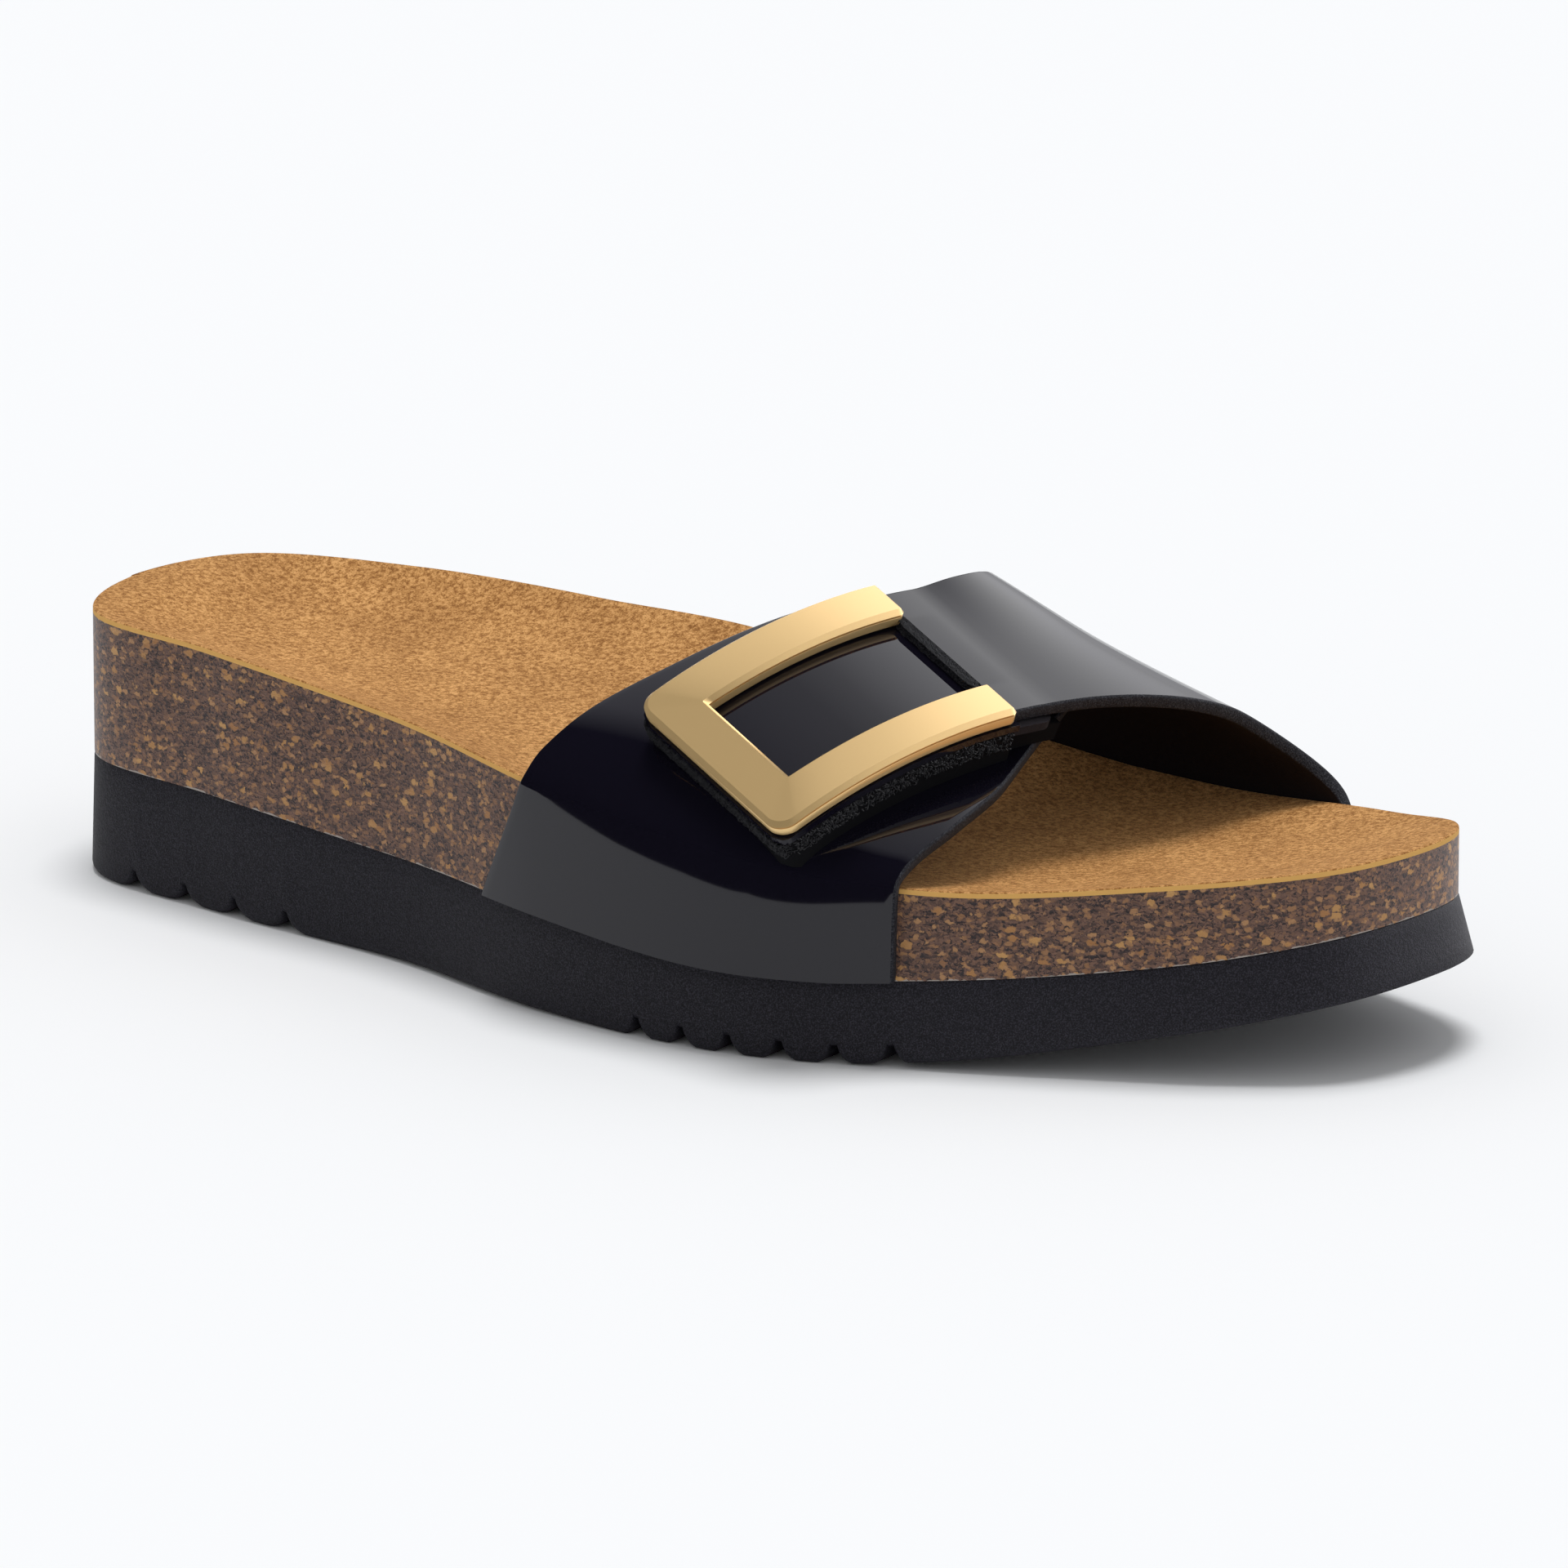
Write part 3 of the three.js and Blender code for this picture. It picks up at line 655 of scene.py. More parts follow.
def makeInsole():
    stations = soleStations(suedeLook["stations"])
    edgeRound = suedeLook["edgeRound"]
    rounds = []
    for angle in np.linspace(0, math.pi / 2, 5):
        rounds.append((edgeRound * (math.cos(angle) - 1), edgeRound * (math.sin(angle) - 1)))

    def wall(side):
        rim = rimHeight(side, stations)
        layers = [(inward, rim + down) for inward, down in rounds]
        return wallRows(side, stations, [(0.0, rim - sole["insoleThickness"]), *layers])

    inner = wall(1)
    outer = wall(-1)
    across = np.linspace(0, 1, 42)[1:-1]
    ring = list(inner)
    for share in across:
        plan = mix(inner[-1], outer[-1], share)
        plan[:, 2] = footbedHeight(plan[:, 0], plan[:, 1])
        ring.append(plan)
    ring += outer[::-1]
    for share in across:
        plan = mix(outer[0], inner[0], share)
        plan[:, 2] = footbedHeight(plan[:, 0], plan[:, 1]) - sole["insoleThickness"]
        ring.append(plan)
    rings = np.stack(ring, axis=1)
    points, faces = loft(rings)
    wallCount = len(inner)
    outerFrom = wallCount + len(across)
    edgeFaces = {0, 1, outerFrom + wallCount - 3, outerFrom + wallCount - 2}
    slots = [1 if k in edgeFaces else 0 for k in range(len(ring))]
    faceSlots = slots * (len(stations) - 1) + [0, 0]
    materials = [suedeMaterial(), grainyMaterial("cut suede edge", suedeLook["edge"])]
    piece = makeObject("insole.suede", points, faces, materials, 70, faceSlots)
    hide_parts("insole")
    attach(piece, "root")
    print("suede insole made")


# Band: two patent straps that cross under the buckle
bandLook = {
    "wall": 2.2,
    "instepHeight": 60.0,
    "crestShift": 5.0,
    "medialCrestShift": -3.0,
    "rimShare": 0.3,
    "lateralReach": 0.55,
    "medialRise": 0.42,
    "medialReach": 0.5,
    "gap": 0.3,
    "closureThickness": 4.2,
    "lateralStrapEnd": 0.08,
    "crossingReach": 0.16,
    "crossingStart": -0.06,
    "crossingEase": 0.34,
    "tongueStart": 0.07,
    "tongueReach": 2.2,
    "tongueDrop": 0.2,
    "tongueSlope": 1.3,
    "tonguePivot": 0.6,
    "tongueEase": 1.6,
    "crinkleMm": 0.55,
    "edgeRound": 0.45,
    "footShare": 0.4,
    "steps": 190,
    "patent": {
        "colour": (0.0054, 0.0047, 0.0095),
        "grain": (9.0, 0.12),
        "bump": (0.05, 0.6),
        "roughness": 0.22,
        "specular": 0.0,
        "coat": 0.85,
        "coatRoughness": 0.03,
    },
    "lining": {
        "colour": (0.012, 0.0095, 0.0125),
        "grain": (0.7, 0.5),
        "bump": (0.6, 0.25),
        "roughness": 0.85,
        "specular": 0.25,
    },
    "rawEdge": {
        "colour": (0.006, 0.006, 0.01),
        "speck": (0.05, 0.052, 0.062),
        "grain": (0.7, 0.5),
        "bump": (0.9, 0.35),
        "roughness": 0.7,
        "specular": 0.25,
    },
}

# Waves of the tongue's crinkled end: height, turns per millimetre in radians, start
crinkleWaves = [(0.5, 2.9, 0.0), (0.35, 7.3, 1.0), (0.25, 13.1, 2.0)]

# along, crest, fullness of the outer flank
archRows = np.array([
    (0.38, 0.88, 0.3),
    (0.5, 0.965, 0.28),
    (0.6, 0.975, 0.25),
    (0.64, 0.935, 0.25),
    (0.69, 0.825, 0.25),
    (0.74, 0.74, 0.25),
    (0.79, 0.68, 0.25),
    (0.87, 0.58, 0.25),
])

# across, rear edge, front edge
lateralStrapRows = np.array([
    (-1, 0.417, 0.726),
    (-0.7, 0.455, 0.728),
    (-0.55, 0.463, 0.733),
    (-0.4, 0.478, 0.742),
    (-0.24, 0.51, 0.744),
    (0.08, 0.57, 0.714),
])
medialStrapRows = np.array([
    (-0.16, 0.6, 0.745),
    (0, 0.628, 0.775),
    (0.15, 0.637, 0.793),
    (0.4, 0.612, 0.81),
    (0.7, 0.575, 0.855),
    (1, 0.563, 0.862),
])

# along, crest of the inner strap's own, higher arch
medialArchRows = np.array([
    (0.56, 1.29),
    (0.63, 1.178),
    (0.71, 1.005),
    (0.79, 0.875),
    (0.86, 0.78),
])


# Inner face of an arch over the foot, for arrays of places along and across.
def archPoints(x, across, arch="outer"):
    x = np.asarray(x, dtype=float)
    across = np.asarray(across, dtype=float)
    look = bandLook
    made = np.zeros((len(x), 3))
    for side in (-1, 1):
        here = (across < 0) if side < 0 else (across >= 0)
        if not here.any():
            continue
        xs = x[here]
        place = xs / sole["length"]
        fromCrest = np.abs(across[here])
        edge = edgeAt(side, xs, look["gap"])
        rim = rimHeight(side, xs)
        base = outsoleTop(xs) + look["gap"]
        top = look["instepHeight"] * blend(archRows if arch == "outer" else medialArchRows, 1, place)
        middle = look["crestShift"] if arch == "outer" else look["medialCrestShift"]
        rise = blend(archRows, 2, place) if side < 0 else look["medialRise"]
        reach = look["lateralReach"] if side < 0 else look["medialReach"]
        upright = fromCrest > 1 - look["rimShare"]
        t = np.clip(1 - fromCrest / (1 - look["rimShare"]), 0, 1)
        weights = ((1 - t) ** 3, 3 * t * (1 - t) ** 2, 3 * t * t * (1 - t), t ** 3)
        ys = (edge, edge, mix(middle, edge, reach), middle)
        zs = (rim, mix(rim, top, rise), top, top)
        y = sum(w * v for w, v in zip(weights, ys))
        z = sum(w * v for w, v in zip(weights, zs))
        y = np.where(upright, edge, y)
        z = np.where(upright, mix(base, rim, (1 - fromCrest) / look["rimShare"]), z)
        made[here] = np.column_stack([xs, y, z])
    return made


def archNormals(x, across, arch="outer"):
    alongStep = archPoints(x + 0.5, across, arch) - archPoints(x - 0.5, across, arch)
    low = np.maximum(across - 0.01, -1)
    high = np.minimum(across + 0.01, 1)
    overStep = archPoints(x, high, arch) - archPoints(x, low, arch)
    normal = np.cross(alongStep, overStep)
    return normal / np.linalg.norm(normal, axis=1, keepdims=True)


def bandPoints(x, across, lift, arch="outer"):
    return archPoints(x, across, arch) + archNormals(x, across, arch) * np.reshape(lift, (-1, 1))


# Buckle: a flat rectangular frame, bent over the foot, one end under the inner strap
buckleLook = {
    "width": 38.7,
    "length": 60.0,
    "bar": 8.6,
    "thickness": 3.0,
    "bend": 92.0,
    "corner": 3.5,
    "bevel": 0.8,
    "covered": 10.5,
    "overhang": 11.3,
    "along": 0.618,
    "across": -0.412,
    "turnDegrees": 26.5,
    "coverInset": 1.6,
    "coverRecess": 4.1,
    "coveredThickness": 1.5,
    "grooveDepth": 0.35,
    "grooveWidth": 0.4,
    "grooveLip": 0.04,
    "grooveSlope": 0.05,
    "lowRound": 0.6,
    "endRound": 1.3,
    "endRun": 2.2,
    "coverEdge": 0.4,
    "colour": (0.84, 0.58, 0.26),
    "metallic": 0.55,
    "roughness": 0.27,
    "specular": 0.5,
    "grain": (0.25, 0.4),
    "bump": (0.12, 0.05),
}


def buckleAxes():
    look = buckleLook
    x = np.array([look["along"] * sole["length"]])
    across = np.array([look["across"]])
    stack = bandLook["wall"] + bandLook["closureThickness"] + bandLook["gap"] + look["thickness"]
    seat = bandPoints(x, across, stack)[0]
    out = archNormals(x, across)[0]
    turn = math.radians(look["turnDegrees"])
    fore = np.array([math.cos(turn), -math.sin(turn), 0.0])
    fore -= out * fore.dot(out)
    fore /= np.linalg.norm(fore)
    return seat, out, fore, np.cross(out, fore)


buckleSeat, buckleOut, buckleFore, buckleOver = buckleAxes()
frameStart = -buckleLook["overhang"]
frameEnd = frameStart + buckleLook["length"]
coverStart = frameEnd - buckleLook["covered"]
coverHalf = buckleLook["width"] / 2 - buckleLook["coverInset"]
coverEnd = frameEnd + bandLook["wall"] + bandLook["gap"]
windowHalf = buckleLook["width"] / 2 - buckleLook["bar"]


# Points of the bent frame: p over the foot, q along it, depth under its top face.
def framePoints(p, q, depth):
    p, q, depth = np.broadcast_arrays(p, q, depth)
    angle = p.ravel() / buckleLook["bend"]
    radius = buckleLook["bend"] - depth.ravel()
    made = buckleSeat + np.outer(radius * np.sin(angle), buckleOver)
    made += np.outer(q.ravel(), buckleFore)
    return made + np.outer(radius * np.cos(angle) - buckleLook["bend"], buckleOut)


def patentMaterial():
    look = bandLook["patent"]
    material = grainyMaterial("black patent", look)
    shader = material.node_tree.nodes["Principled BSDF"]
    shader.inputs["Coat Weight"].default_value = look["coat"]
    shader.inputs["Coat Roughness"].default_value = look["coatRoughness"]
    return material


def rawEdgeMaterial():
    look = bandLook["rawEdge"]
    material, tree, shader = newMaterial("raw strap edge", look)
    grain = useGroup(tree, fineGrain, look["grain"])
    colour = ramp(tree, grain.outputs["Mask"], [(0.45, look["colour"]), (0.68, look["speck"])])
    link(tree, colour, shader.inputs["Base Color"])
    addBump(tree, shader, grain.outputs["Height"], look["bump"])
    return material


edgeSteps = 5  # points round each edge of a strap


# Cross-section of a strap as shares of its width, insets and lifts, from its rear
# foot over the top and back under it.
def strapProfile(topCount):
    wall = bandLook["wall"]
    r = bandLook["edgeRound"]
    foot = r * bandLook["footShare"]
    quarter = np.linspace(0, math.pi / 2, edgeSteps)
    profile = [(0.0, foot, 0.0), (0.0, 0.0, foot)]
    profile += [(0.0, r * (1 - math.cos(a)), wall - r * (1 - math.sin(a))) for a in quarter]
    profile += [(share, 0.0, wall) for share in np.linspace(0, 1, topCount)[1:-1]]
    profile += [(1.0, -r * (1 - math.sin(a)), wall - r * (1 - math.cos(a))) for a in quarter]
    profile += [(1.0, 0.0, foot), (1.0, -foot, 0.0)]
    return profile + [(share, 0.0, 0.0) for share in np.linspace(1, 0, topCount)[1:-1]]


def lateralPoints(x, across, share, lift):
    return bandPoints(x, across, lift)


# The inner strap lies on the covered bar, and its middle dips between the long bars
# as a tongue with a crinkled end.
def medialPoints(x, across, share, lift):
    look = bandLook
    free = bandPoints(x, np.maximum(across, 0), lift, "inner")
    easeRun = look["crossingEase"] - look["crossingStart"]
    onFrame = ease((look["crossingEase"] - across) / easeRun)[:, None]
    q = mix(-coverHalf, coverHalf, share)
    dip = ease((-across - look["tongueStart"]) / (look["crossingReach"] - look["tongueStart"]))
    tongue = dip * ease((windowHalf - np.abs(q)) / look["tongueEase"])
    crinkle = sum(height * np.sin(turns * q + start) for height, turns, start in crinkleWaves)
    p = frameEnd + across / look["crossingReach"] * buckleLook["covered"]
    under = 1 - lift / look["wall"]
    p = p - tongue * (look["tongueReach"] + look["tongueSlope"] * (under - look["tonguePivot"]))
    p = p + look["crinkleMm"] * crinkle * tongue ** 4
    depth = buckleLook["coverRecess"] - look["gap"] + look["tongueDrop"] * tongue
    return mix(free, framePoints(p, q, depth - lift), onFrame)


def makeStrap(name, rows, start, end, pointsAt, topCount):
    profile = strapProfile(topCount)
    steps = bandLook["steps"]
    stations = np.linspace(start, end, steps)
    rear = blend(rows, 1, stations) * sole["length"]
    front = blend(rows, 2, stations) * sole["length"]
    rings = []
    for share, inset, lift in profile:
        x = mix(rear, front, share) + inset
        shares = (x - rear) / (front - rear)
        rings.append(pointsAt(x, stations, shares, np.full_like(x, lift)))
    rings = np.stack(rings, axis=1)
    points, faces = loft(rings)
    slots = [1] * edgeSteps + [0] * topCount + [1] * (edgeSteps + 1)
    slots += [2] * (len(profile) - len(slots))
    faceSlots = slots * (steps - 1) + [1, 1]
    piece = makeObject(name, points, faces, [patent, rawEdge, lining], 50, faceSlots)
    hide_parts("upper")
    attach(piece, "root")


def goldMaterial():
    material = grainyMaterial("satin gold", buckleLook)
    shader = material.node_tree.nodes["Principled BSDF"]
    shader.inputs["Metallic"].default_value = buckleLook["metallic"]
    return material


# One side wall of a bar as distances into the bar and depths: bevel, groove and a
# rounded lower band.
def barWall():
    look = buckleLook
    bevel = look["bevel"]
    low = look["thickness"]
    groove = look["grooveDepth"]
    lip = look["grooveLip"]
    slope = look["grooveSlope"]
    under = bevel + slope + look["grooveWidth"]
    r = look["lowRound"]
    return [
        (bevel, 0.0), (0.0, bevel), (0.0, bevel + lip), (groove, bevel + 2 * lip),
        (groove, under - slope), (0.1, under), (0.0, under + 0.25),
        (0.0, low - r), (r / 4, low - r / 3), (r * 5 / 6, low),
    ]


# Ring of points across a bar between an inner and an outer place in plan.
def barRing(inner, outer, section, inset=0.0, least=0.0):
    inner = np.array(inner)
    outer = np.array(outer)
    away = (outer - inner) / np.linalg.norm(outer - inner)
    plan = [inner + away * (d + inset) for d, _ in reversed(section)]
    plan += [outer - away * (d + inset) for d, _ in section]
    depths = np.maximum([t for _, t in reversed(section)] + [t for _, t in section], least)
    plan = np.array(plan)
    return framePoints(plan[:, 0], plan[:, 1], depths)


# Stations around one end of the frame as inner and outer places in plan.
def frameCorner(endSide, widthSide, first):
    look = buckleLook
    outerHalf = look["width"] / 2
    r = look["corner"]
    innerP = frameStart + look["bar"] if endSide < 0 else frameEnd - look["bar"]
    centreP = frameStart + r if endSide < 0 else frameEnd - r
    centreQ = widthSide * (outerHalf - r)
    made = []
    for angle in np.linspace(first, first + math.pi / 2, 13):
        outer = (centreP + r * math.cos(angle), centreQ + r * math.sin(angle))
        made.append(((innerP, widthSide * windowHalf), outer))
    return made


def makeGold(name, points, faces, material):
    piece = makeObject(name, points, faces, [material], 32)
    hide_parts("buckle")
    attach(piece, "root")


def makeBuckle():
    look = buckleLook
    outerHalf = look["width"] / 2
    section = barWall()
    reach = coverStart - look["endRun"]
    toEnd = (1.6, 1.2, 0.9, 0.6, 0.35, 0.15, 0.0)

    def longBar(widthSide):
        made = []
        for share in np.linspace(0, 1, 40)[1:]:
            inner = (mix(frameStart + look["bar"], reach, share), widthSide * windowHalf)
            outer = (mix(frameStart + look["corner"], reach, share), widthSide * outerHalf)
            made.append(barRing(inner, outer, section))
        for distance in toEnd:
            near = max(look["endRound"] - distance, 0.0)
            inset = look["endRound"] - math.sqrt(look["endRound"] ** 2 - near ** 2)
            place = coverStart - distance
            inner = (place, widthSide * windowHalf)
            outer = (place, widthSide * outerHalf)
            made.append(barRing(inner, outer, section, inset, max(look["bevel"] - distance, 0.0)))
        return made

    rings = longBar(-1)[::-1]
    rings += [barRing(*place, section) for place in frameCorner(-1, -1, math.pi)[::-1]]
    rings += [barRing(*place, section) for place in frameCorner(-1, 1, 0.5 * math.pi)[::-1]]
    rings += longBar(1)
    points, faces = loft(rings)
    makeGold("buckle.frame", points, faces, goldMaterial())

    # The covered bar, a step lower and wrapped in the strap's black lining
    edge = look["coverEdge"]
    top = look["coverRecess"]
    covered = [(edge, top), (edge, top + look["coveredThickness"])]
    start = coverStart - edge
    ends = [((start, side * windowHalf), (start, side * outerHalf)) for side in (-1, 1)]
    stations = [ends[0], *frameCorner(1, -1, 1.5 * math.pi), *frameCorner(1, 1, 0.0), ends[1]]
    points, faces = loft([barRing(*place, covered) for place in stations])
    makeGold("buckle.covered", points, faces, lining)
    print("buckle made")


# Closure: the tab under the frame and a pad of looped yarn on the outer strap
closureLook = {
    "tabWall": 1.2,
    "past": 0.3,
    "corner": 2.5,
    "foldInset": 0.5,
    "foldCorner": 0.5,
    "endLoops": 1800,
    "sideLoops": 900,
    "deepest": 3.2,
    "loop": 0.3,
    "wideSpread": (0.6, 1.4),
    "tallSpread": (0.5, 1.6),
    "sunk": 0.15,
    "yarn": 0.09,
    "yarnSpread": (0.7, 1.3),
    "pad": {"colour": (0.0035, 0.0035, 0.0045), "roughness": 0.9, "specular": 0.1},
    "loops": {"colour": (0.012, 0.012, 0.015), "roughness": 0.6, "specular": 0.4},
}


# Depth under the frame's top face at which its normal meets the inner face of the arch.
def depthToArch(p, q):
    low = np.zeros_like(p)
    high = np.full_like(p, bandLook["instepHeight"])
    for _ in range(26):
        middle = (low + high) / 2
        point = framePoints(p, q, middle)
        under = point[:, 2] < archHeight(point[:, 0], point[:, 1])
        high = np.where(under, middle, high)
        low = np.where(under, low, middle)
    return low


def archHeight(x, y):
    side = np.where(y < bandLook["crestShift"], -1.0, 1.0)
    low = np.zeros_like(x)
    high = np.full_like(x, 1 - bandLook["rimShare"])
    for _ in range(26):
        middle = (low + high) / 2
        past = (archPoints(x, side * middle)[:, 1] - y) * side > 0
        high = np.where(past, middle, high)
        low = np.where(past, low, middle)
    return archPoints(x, side * low)[:, 2]


# A bent block under the frame between two depths, with rounded corners in plan.
def makeBlock(name, start, end, halfWidth, topDepth, bottomAt, material, roundMm):
    p, shares = np.meshgrid(np.linspace(start, end, 60), np.linspace(-1, 1, 40), indexing="ij")
    inside = np.clip(roundMm - (p - start), 0, roundMm)
    q = shares * (halfWidth - roundMm + np.sqrt(roundMm ** 2 - inside ** 2))
    over = framePoints(p, q, topDepth).reshape(*p.shape, 3)
    under = framePoints(p, q, bottomAt(p.ravel(), q.ravel()).reshape(p.shape)).reshape(*p.shape, 3)
    points, faces = loft(np.concatenate([over, under[:, ::-1]], axis=1))
    piece = makeObject(name, points, faces, [material], 45)
    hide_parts("upper")
    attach(piece, "root")


# Small loops of yarn over the pad's open faces, joined to one mesh.
def makeFuzz(tabDepth):
    look = closureLook
    chance = random.Random(7)
    halfWidth = buckleLook["width"] / 2
    corner = look["corner"]
    first = frameStart - look["past"]
    sideLength = coverStart - first - corner
    points = []
    faces = []

    # Runs: over the end, then along the front and the rear side
    for side in (0, 1, -1):
        count = look["sideLoops"] if side else look["endLoops"]
        along = np.array([chance.random() for _ in range(count)])
        if side:
            p = first + corner + along * sideLength
            q = np.full(count, side * halfWidth)
            seatsOut = (0.0, side)
        else:
            q = (along - 0.5) * 2 * halfWidth
            over = np.maximum(np.abs(q) - (halfWidth - corner), 0)
            p = first + corner - np.sqrt(corner ** 2 - over ** 2)
            seatsOut = (-1.0, 0.0)
        bottom = np.minimum(depthToArch(p, q) - bandLook["wall"] - 0.1, tabDepth + look["deepest"])
        share = np.array([chance.random() for _ in range(count)])
        depth = mix(tabDepth + 0.2, bottom, share)
        seats = framePoints(p, q, depth)
        outs = framePoints(p + seatsOut[0], q + seatsOut[1], depth) - seats
        for seat, out in zip(seats, outs):
            out = out / np.linalg.norm(out)
            around = chance.random() * math.pi
            sideways = np.cross(out, buckleOut)
            sideways /= np.linalg.norm(sideways)
            lean = math.cos(around) * sideways + math.sin(around) * np.cross(sideways, out)
            wide = look["loop"] * mix(*look["wideSpread"], chance.random())
            tall = look["loop"] * mix(*look["tallSpread"], chance.random())
            yarn = look["yarn"] * mix(*look["yarnSpread"], chance.random())
            across = np.cross(out, lean)
            base = len(points)
            for step in range(6):
                angle = math.pi * step / 5
                rise = tall * math.sin(angle) - look["sunk"]
                middle = seat + lean * wide * math.cos(angle) + out * rise
                radial = lean * math.cos(angle) + out * math.sin(angle)
                points += [middle + across * yarn, middle - across * yarn, middle + radial * yarn]
            for step in range(5):
                a = base + 3 * step
                for k in range(3):
                    b = (k + 1) % 3
                    faces.append((a + k, a + b, a + 3 + b, a + 3 + k))
    yarnMaterial = newMaterial("looped yarn", look["loops"])[0]
    piece = makeObject("closure.loops", points, faces, [yarnMaterial], 80)
    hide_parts("upper")
    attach(piece, "root")


def makeClosure():
    look = closureLook
    tabTop = buckleLook["thickness"] + bandLook["gap"]
    tabLow = tabTop + look["tabWall"]
    halfWidth = buckleLook["width"] / 2
    first = frameStart - look["past"]
    foldTop = buckleLook["coverRecess"] + buckleLook["coveredThickness"] + bandLook["gap"]
    pad = newMaterial("closure pad", look["pad"])[0]

    def strapTop(p, q):
        return depthToArch(p, q) - bandLook["wall"]

    def tabUnder(p, q):
        return np.full_like(p, tabLow)

    def foldUnder(p, q):
        return np.maximum(strapTop(p, q), foldTop + 0.2)

    foldHalf = coverHalf - look["foldInset"]
    corner = look["corner"]
    makeBlock("strap.tab", first, coverStart + 1, halfWidth, tabTop, tabUnder, patent, corner)
    makeBlock("closure.pad", first, coverStart, halfWidth, tabLow, strapTop, pad, corner)
    makeBlock(
        "closure.fold", coverStart, coverEnd, foldHalf, foldTop, foldUnder, pad, look["foldCorner"])
    makeFuzz(tabLow)
    print("closure made")


makeOutsole()
makeCork()
makeInsole()
patent = patentMaterial()
rawEdge = rawEdgeMaterial()
lining = grainyMaterial("black lining", bandLook["lining"])
makeStrap("strap.outer", lateralStrapRows, -1.0, bandLook["lateralStrapEnd"], lateralPoints, 40)
makeStrap("strap.inner", medialStrapRows, 1.0, -bandLook["crossingReach"], medialPoints, 110)
print("straps made")
makeClosure()
makeBuckle()

# Studio: camera at the photo's angle, pale floor, soft light
studio = {
    "cameraMm": (1323.96, -2012.39, 698.12),
    "targetMm": (6.17, 4.46, 30.03),
    "lensMm": 348.8,
    "floorSize": 12.0,
    "floor": {"colour": (0.95, 0.962, 0.98), "roughness": 0.9, "specular": 0.0},
    "card": {"colour": (0.012, 0.012, 0.017), "roughness": 1.0, "specular": 0.0},
    "skyStrength": 0.5,
    "skyMost": 3.0,
    "skyAxis": (0.35, 0.8, 0.488),
    "skyStops": [
        (0.0, (0.003, 0.003, 0.005)), (0.32, (0.004, 0.004, 0.007)), (0.42, (0.16, 0.16, 0.175)),
        (0.62, (0.23, 0.23, 0.24)), (0.7, (0.33, 0.33, 0.34)), (0.8, (0.6, 0.6, 0.62)),
        (0.94, (1.0, 1.0, 1.0)),
    ],
    "barBlaze": (0.62, -0.1, 0.78),
    "blazeStops": [(0.84, (0.0, 0.0, 0.0)), (0.97, (0.5, 0.5, 0.48))],
    "flagNearMm": [
        (-5900, -60), (-200, -112), (-104, -121), (-69, -126), (-32, -133), (14, -138),
        (51, -134), (67, -133), (200, -128), (5900, -60),
    ],
    "flagFarMm": -5900.0,
    "flagHeightMm": 2.0,
    "keyStrength": 1.6,
    "keyAngle": 24.0,
    "keyAim": (0.02, -0.1, -1.0),
}


def makeCamera():
    data = bpy.data.cameras.new("camera")
    data.lens = studio["lensMm"]
    data.sensor_width = 36.0
    data.clip_end = 100.0
    camera = addObject("camera", data)
    camera.location = Vector(studio["cameraMm"]) * 0.001
    aim = Vector(studio["targetMm"]) * 0.001 - camera.location
    camera.rotation_euler = aim.to_track_quat("-Z", "Y").to_euler()
    bpy.context.scene.camera = camera


def makeFloor():
    size = studio["floorSize"] / 2
    corners = [(-size, -size, 0), (size, -size, 0), (size, size, 0), (-size, size, 0)]
    mesh = bpy.data.meshes.new("floor")
    mesh.from_pydata(corners, [], [(0, 1, 2, 3)])
    mesh.materials.append(newMaterial("pale floor", studio["floor"])[0])
    floor = addObject("floor", mesh)


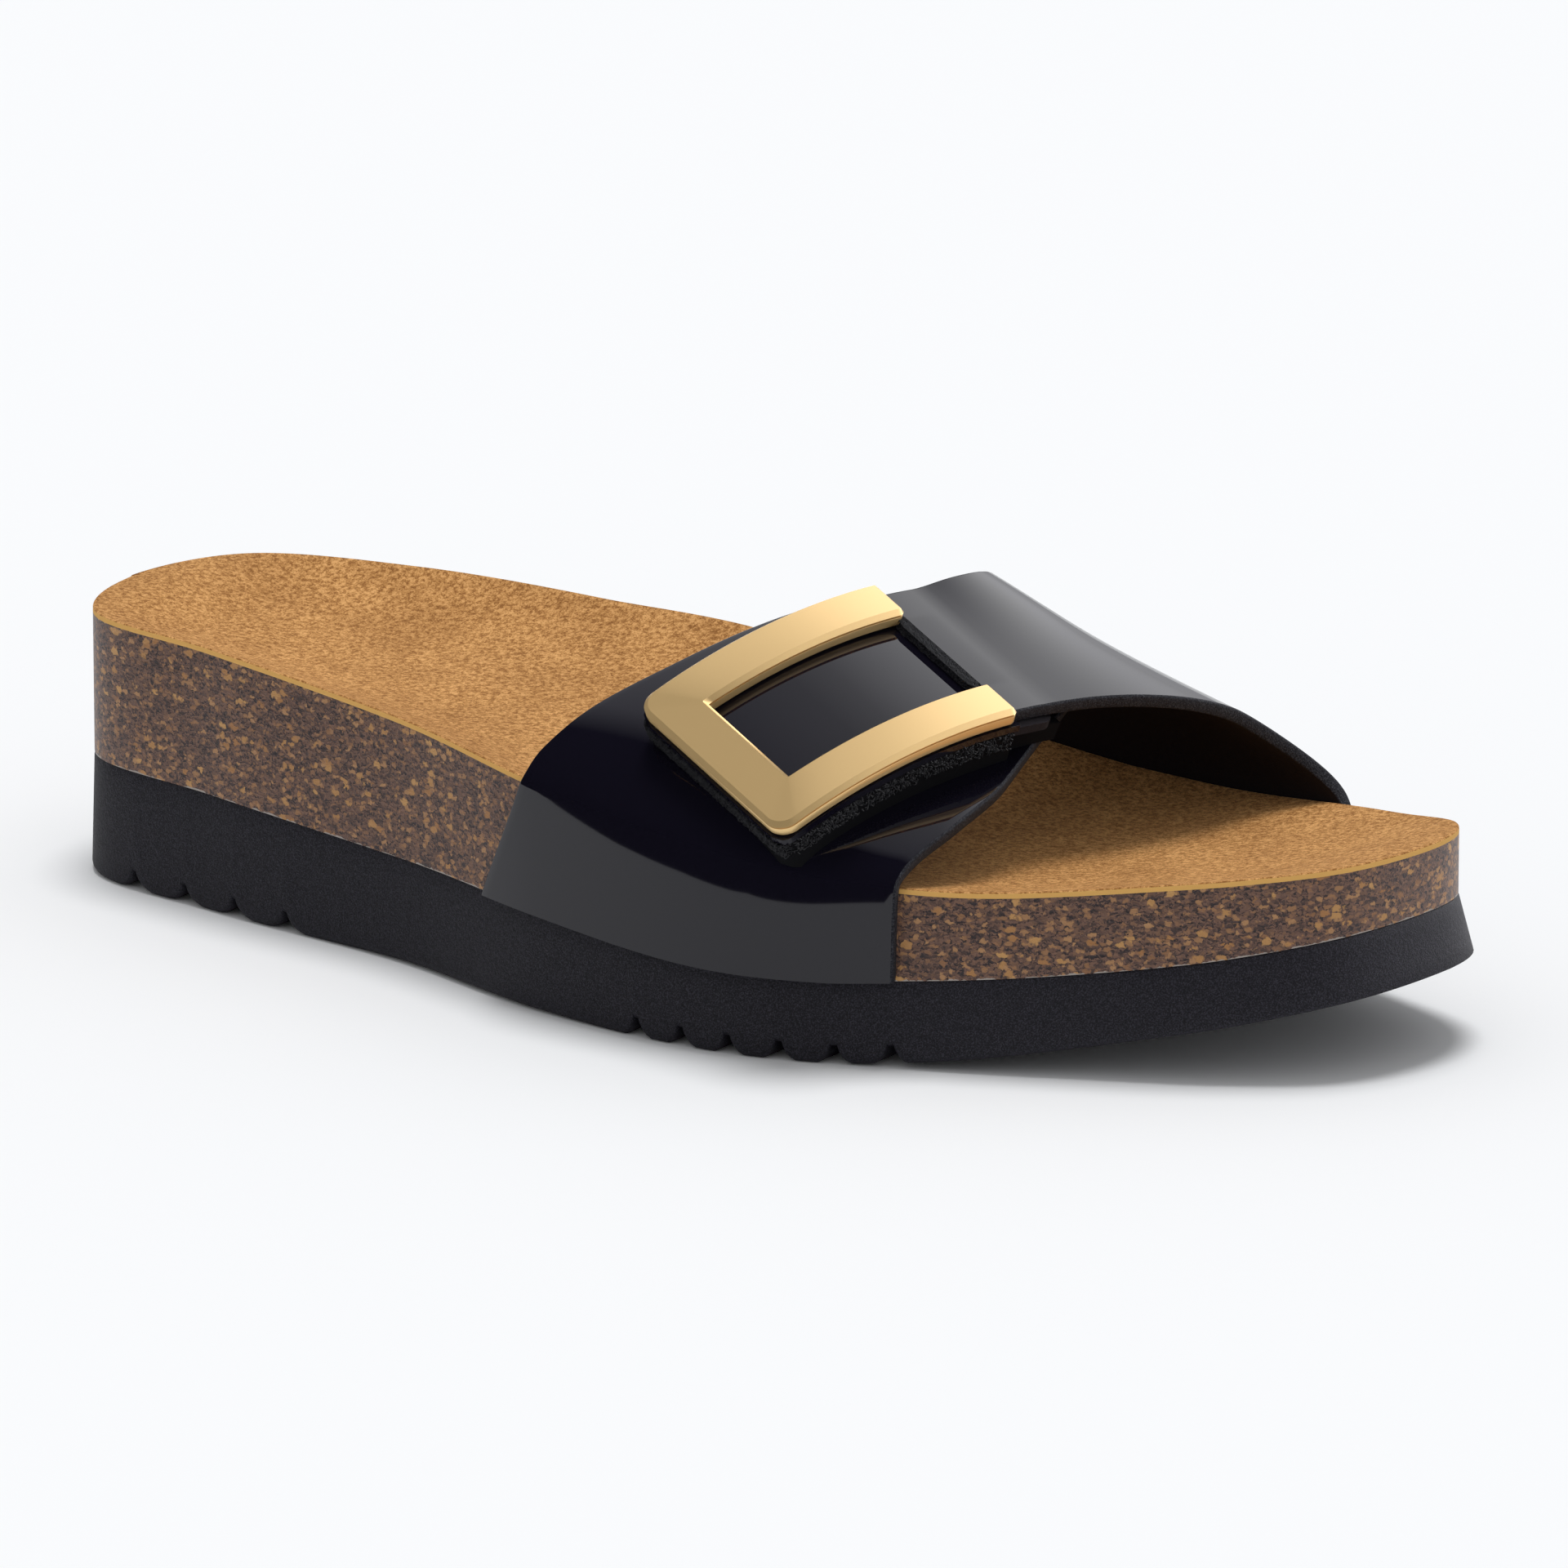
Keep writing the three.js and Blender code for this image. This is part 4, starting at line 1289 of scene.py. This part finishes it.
# A black card over the floor in front of the shoe, seen only in shiny faces, where it
# ends the pale reflection of the floor.
def makeFlag():
    near = studio["flagNearMm"]
    count = len(near)
    rows = [*near, *((x, studio["flagFarMm"]) for x, _ in near)]
    corners = np.array([(x, y, studio["flagHeightMm"]) for x, y in rows]) * 0.001
    faces = [(k, k + 1, count + k + 1, count + k) for k in range(count - 1)]
    mesh = bpy.data.meshes.new("flag")
    mesh.from_pydata(corners.tolist(), [], faces)
    mesh.materials.append(newMaterial("black card", studio["card"])[0])
    flag = addObject("flag", mesh)
    flag.visible_camera = False
    flag.visible_diffuse = False
    flag.visible_shadow = False
    flag.visible_transmission = False


# The sky is even for what it lights. Shiny faces see it dark in front, pale overhead
# and brightest behind the shoe.
def makeSky():
    world = bpy.data.worlds.new("studio")
    bpy.context.scene.world = world
    world.use_nodes = True
    tree = world.node_tree
    tree.nodes.clear()
    out = tree.nodes.new("ShaderNodeOutputWorld")
    back = tree.nodes.new("ShaderNodeBackground")
    back.inputs["Strength"].default_value = studio["skyMost"]
    place = tree.nodes.new("ShaderNodeTexCoord")

    def towards(axis, stops):
        share = node(tree, "ShaderNodeVectorMath", operation="DOT_PRODUCT")
        share.inputs[1].default_value = axis
        link(tree, place.outputs["Generated"], share.inputs[0])
        return ramp(tree, share.outputs["Value"], stops)

    shade = towards(studio["skyAxis"], studio["skyStops"])
    blaze = towards(studio["barBlaze"], studio["blazeStops"])
    shiny = mixColours(tree, 1.0, shade, blaze, "ADD")
    even = studio["skyStrength"] / studio["skyMost"]
    rays = tree.nodes.new("ShaderNodeLightPath")
    seen = mixColours(tree, rays.outputs["Is Glossy Ray"], (even, even, even, 1), shiny)
    link(tree, seen, back.inputs["Color"])
    link(tree, back.outputs["Background"], out.inputs["Surface"])


def makeKey():
    data = bpy.data.lights.new("key", "SUN")
    data.energy = studio["keyStrength"]
    data.angle = math.radians(studio["keyAngle"])
    key = addObject("key", data)
    key.rotation_euler = Vector(studio["keyAim"]).to_track_quat("-Z", "Y").to_euler()
    key.visible_glossy = False


makeCamera()
makeFloor()
makeFlag()
makeSky()
makeKey()
bpy.context.scene.view_settings.view_transform = "Standard"
bpy.context.scene.view_settings.look = "None"
print("studio made")
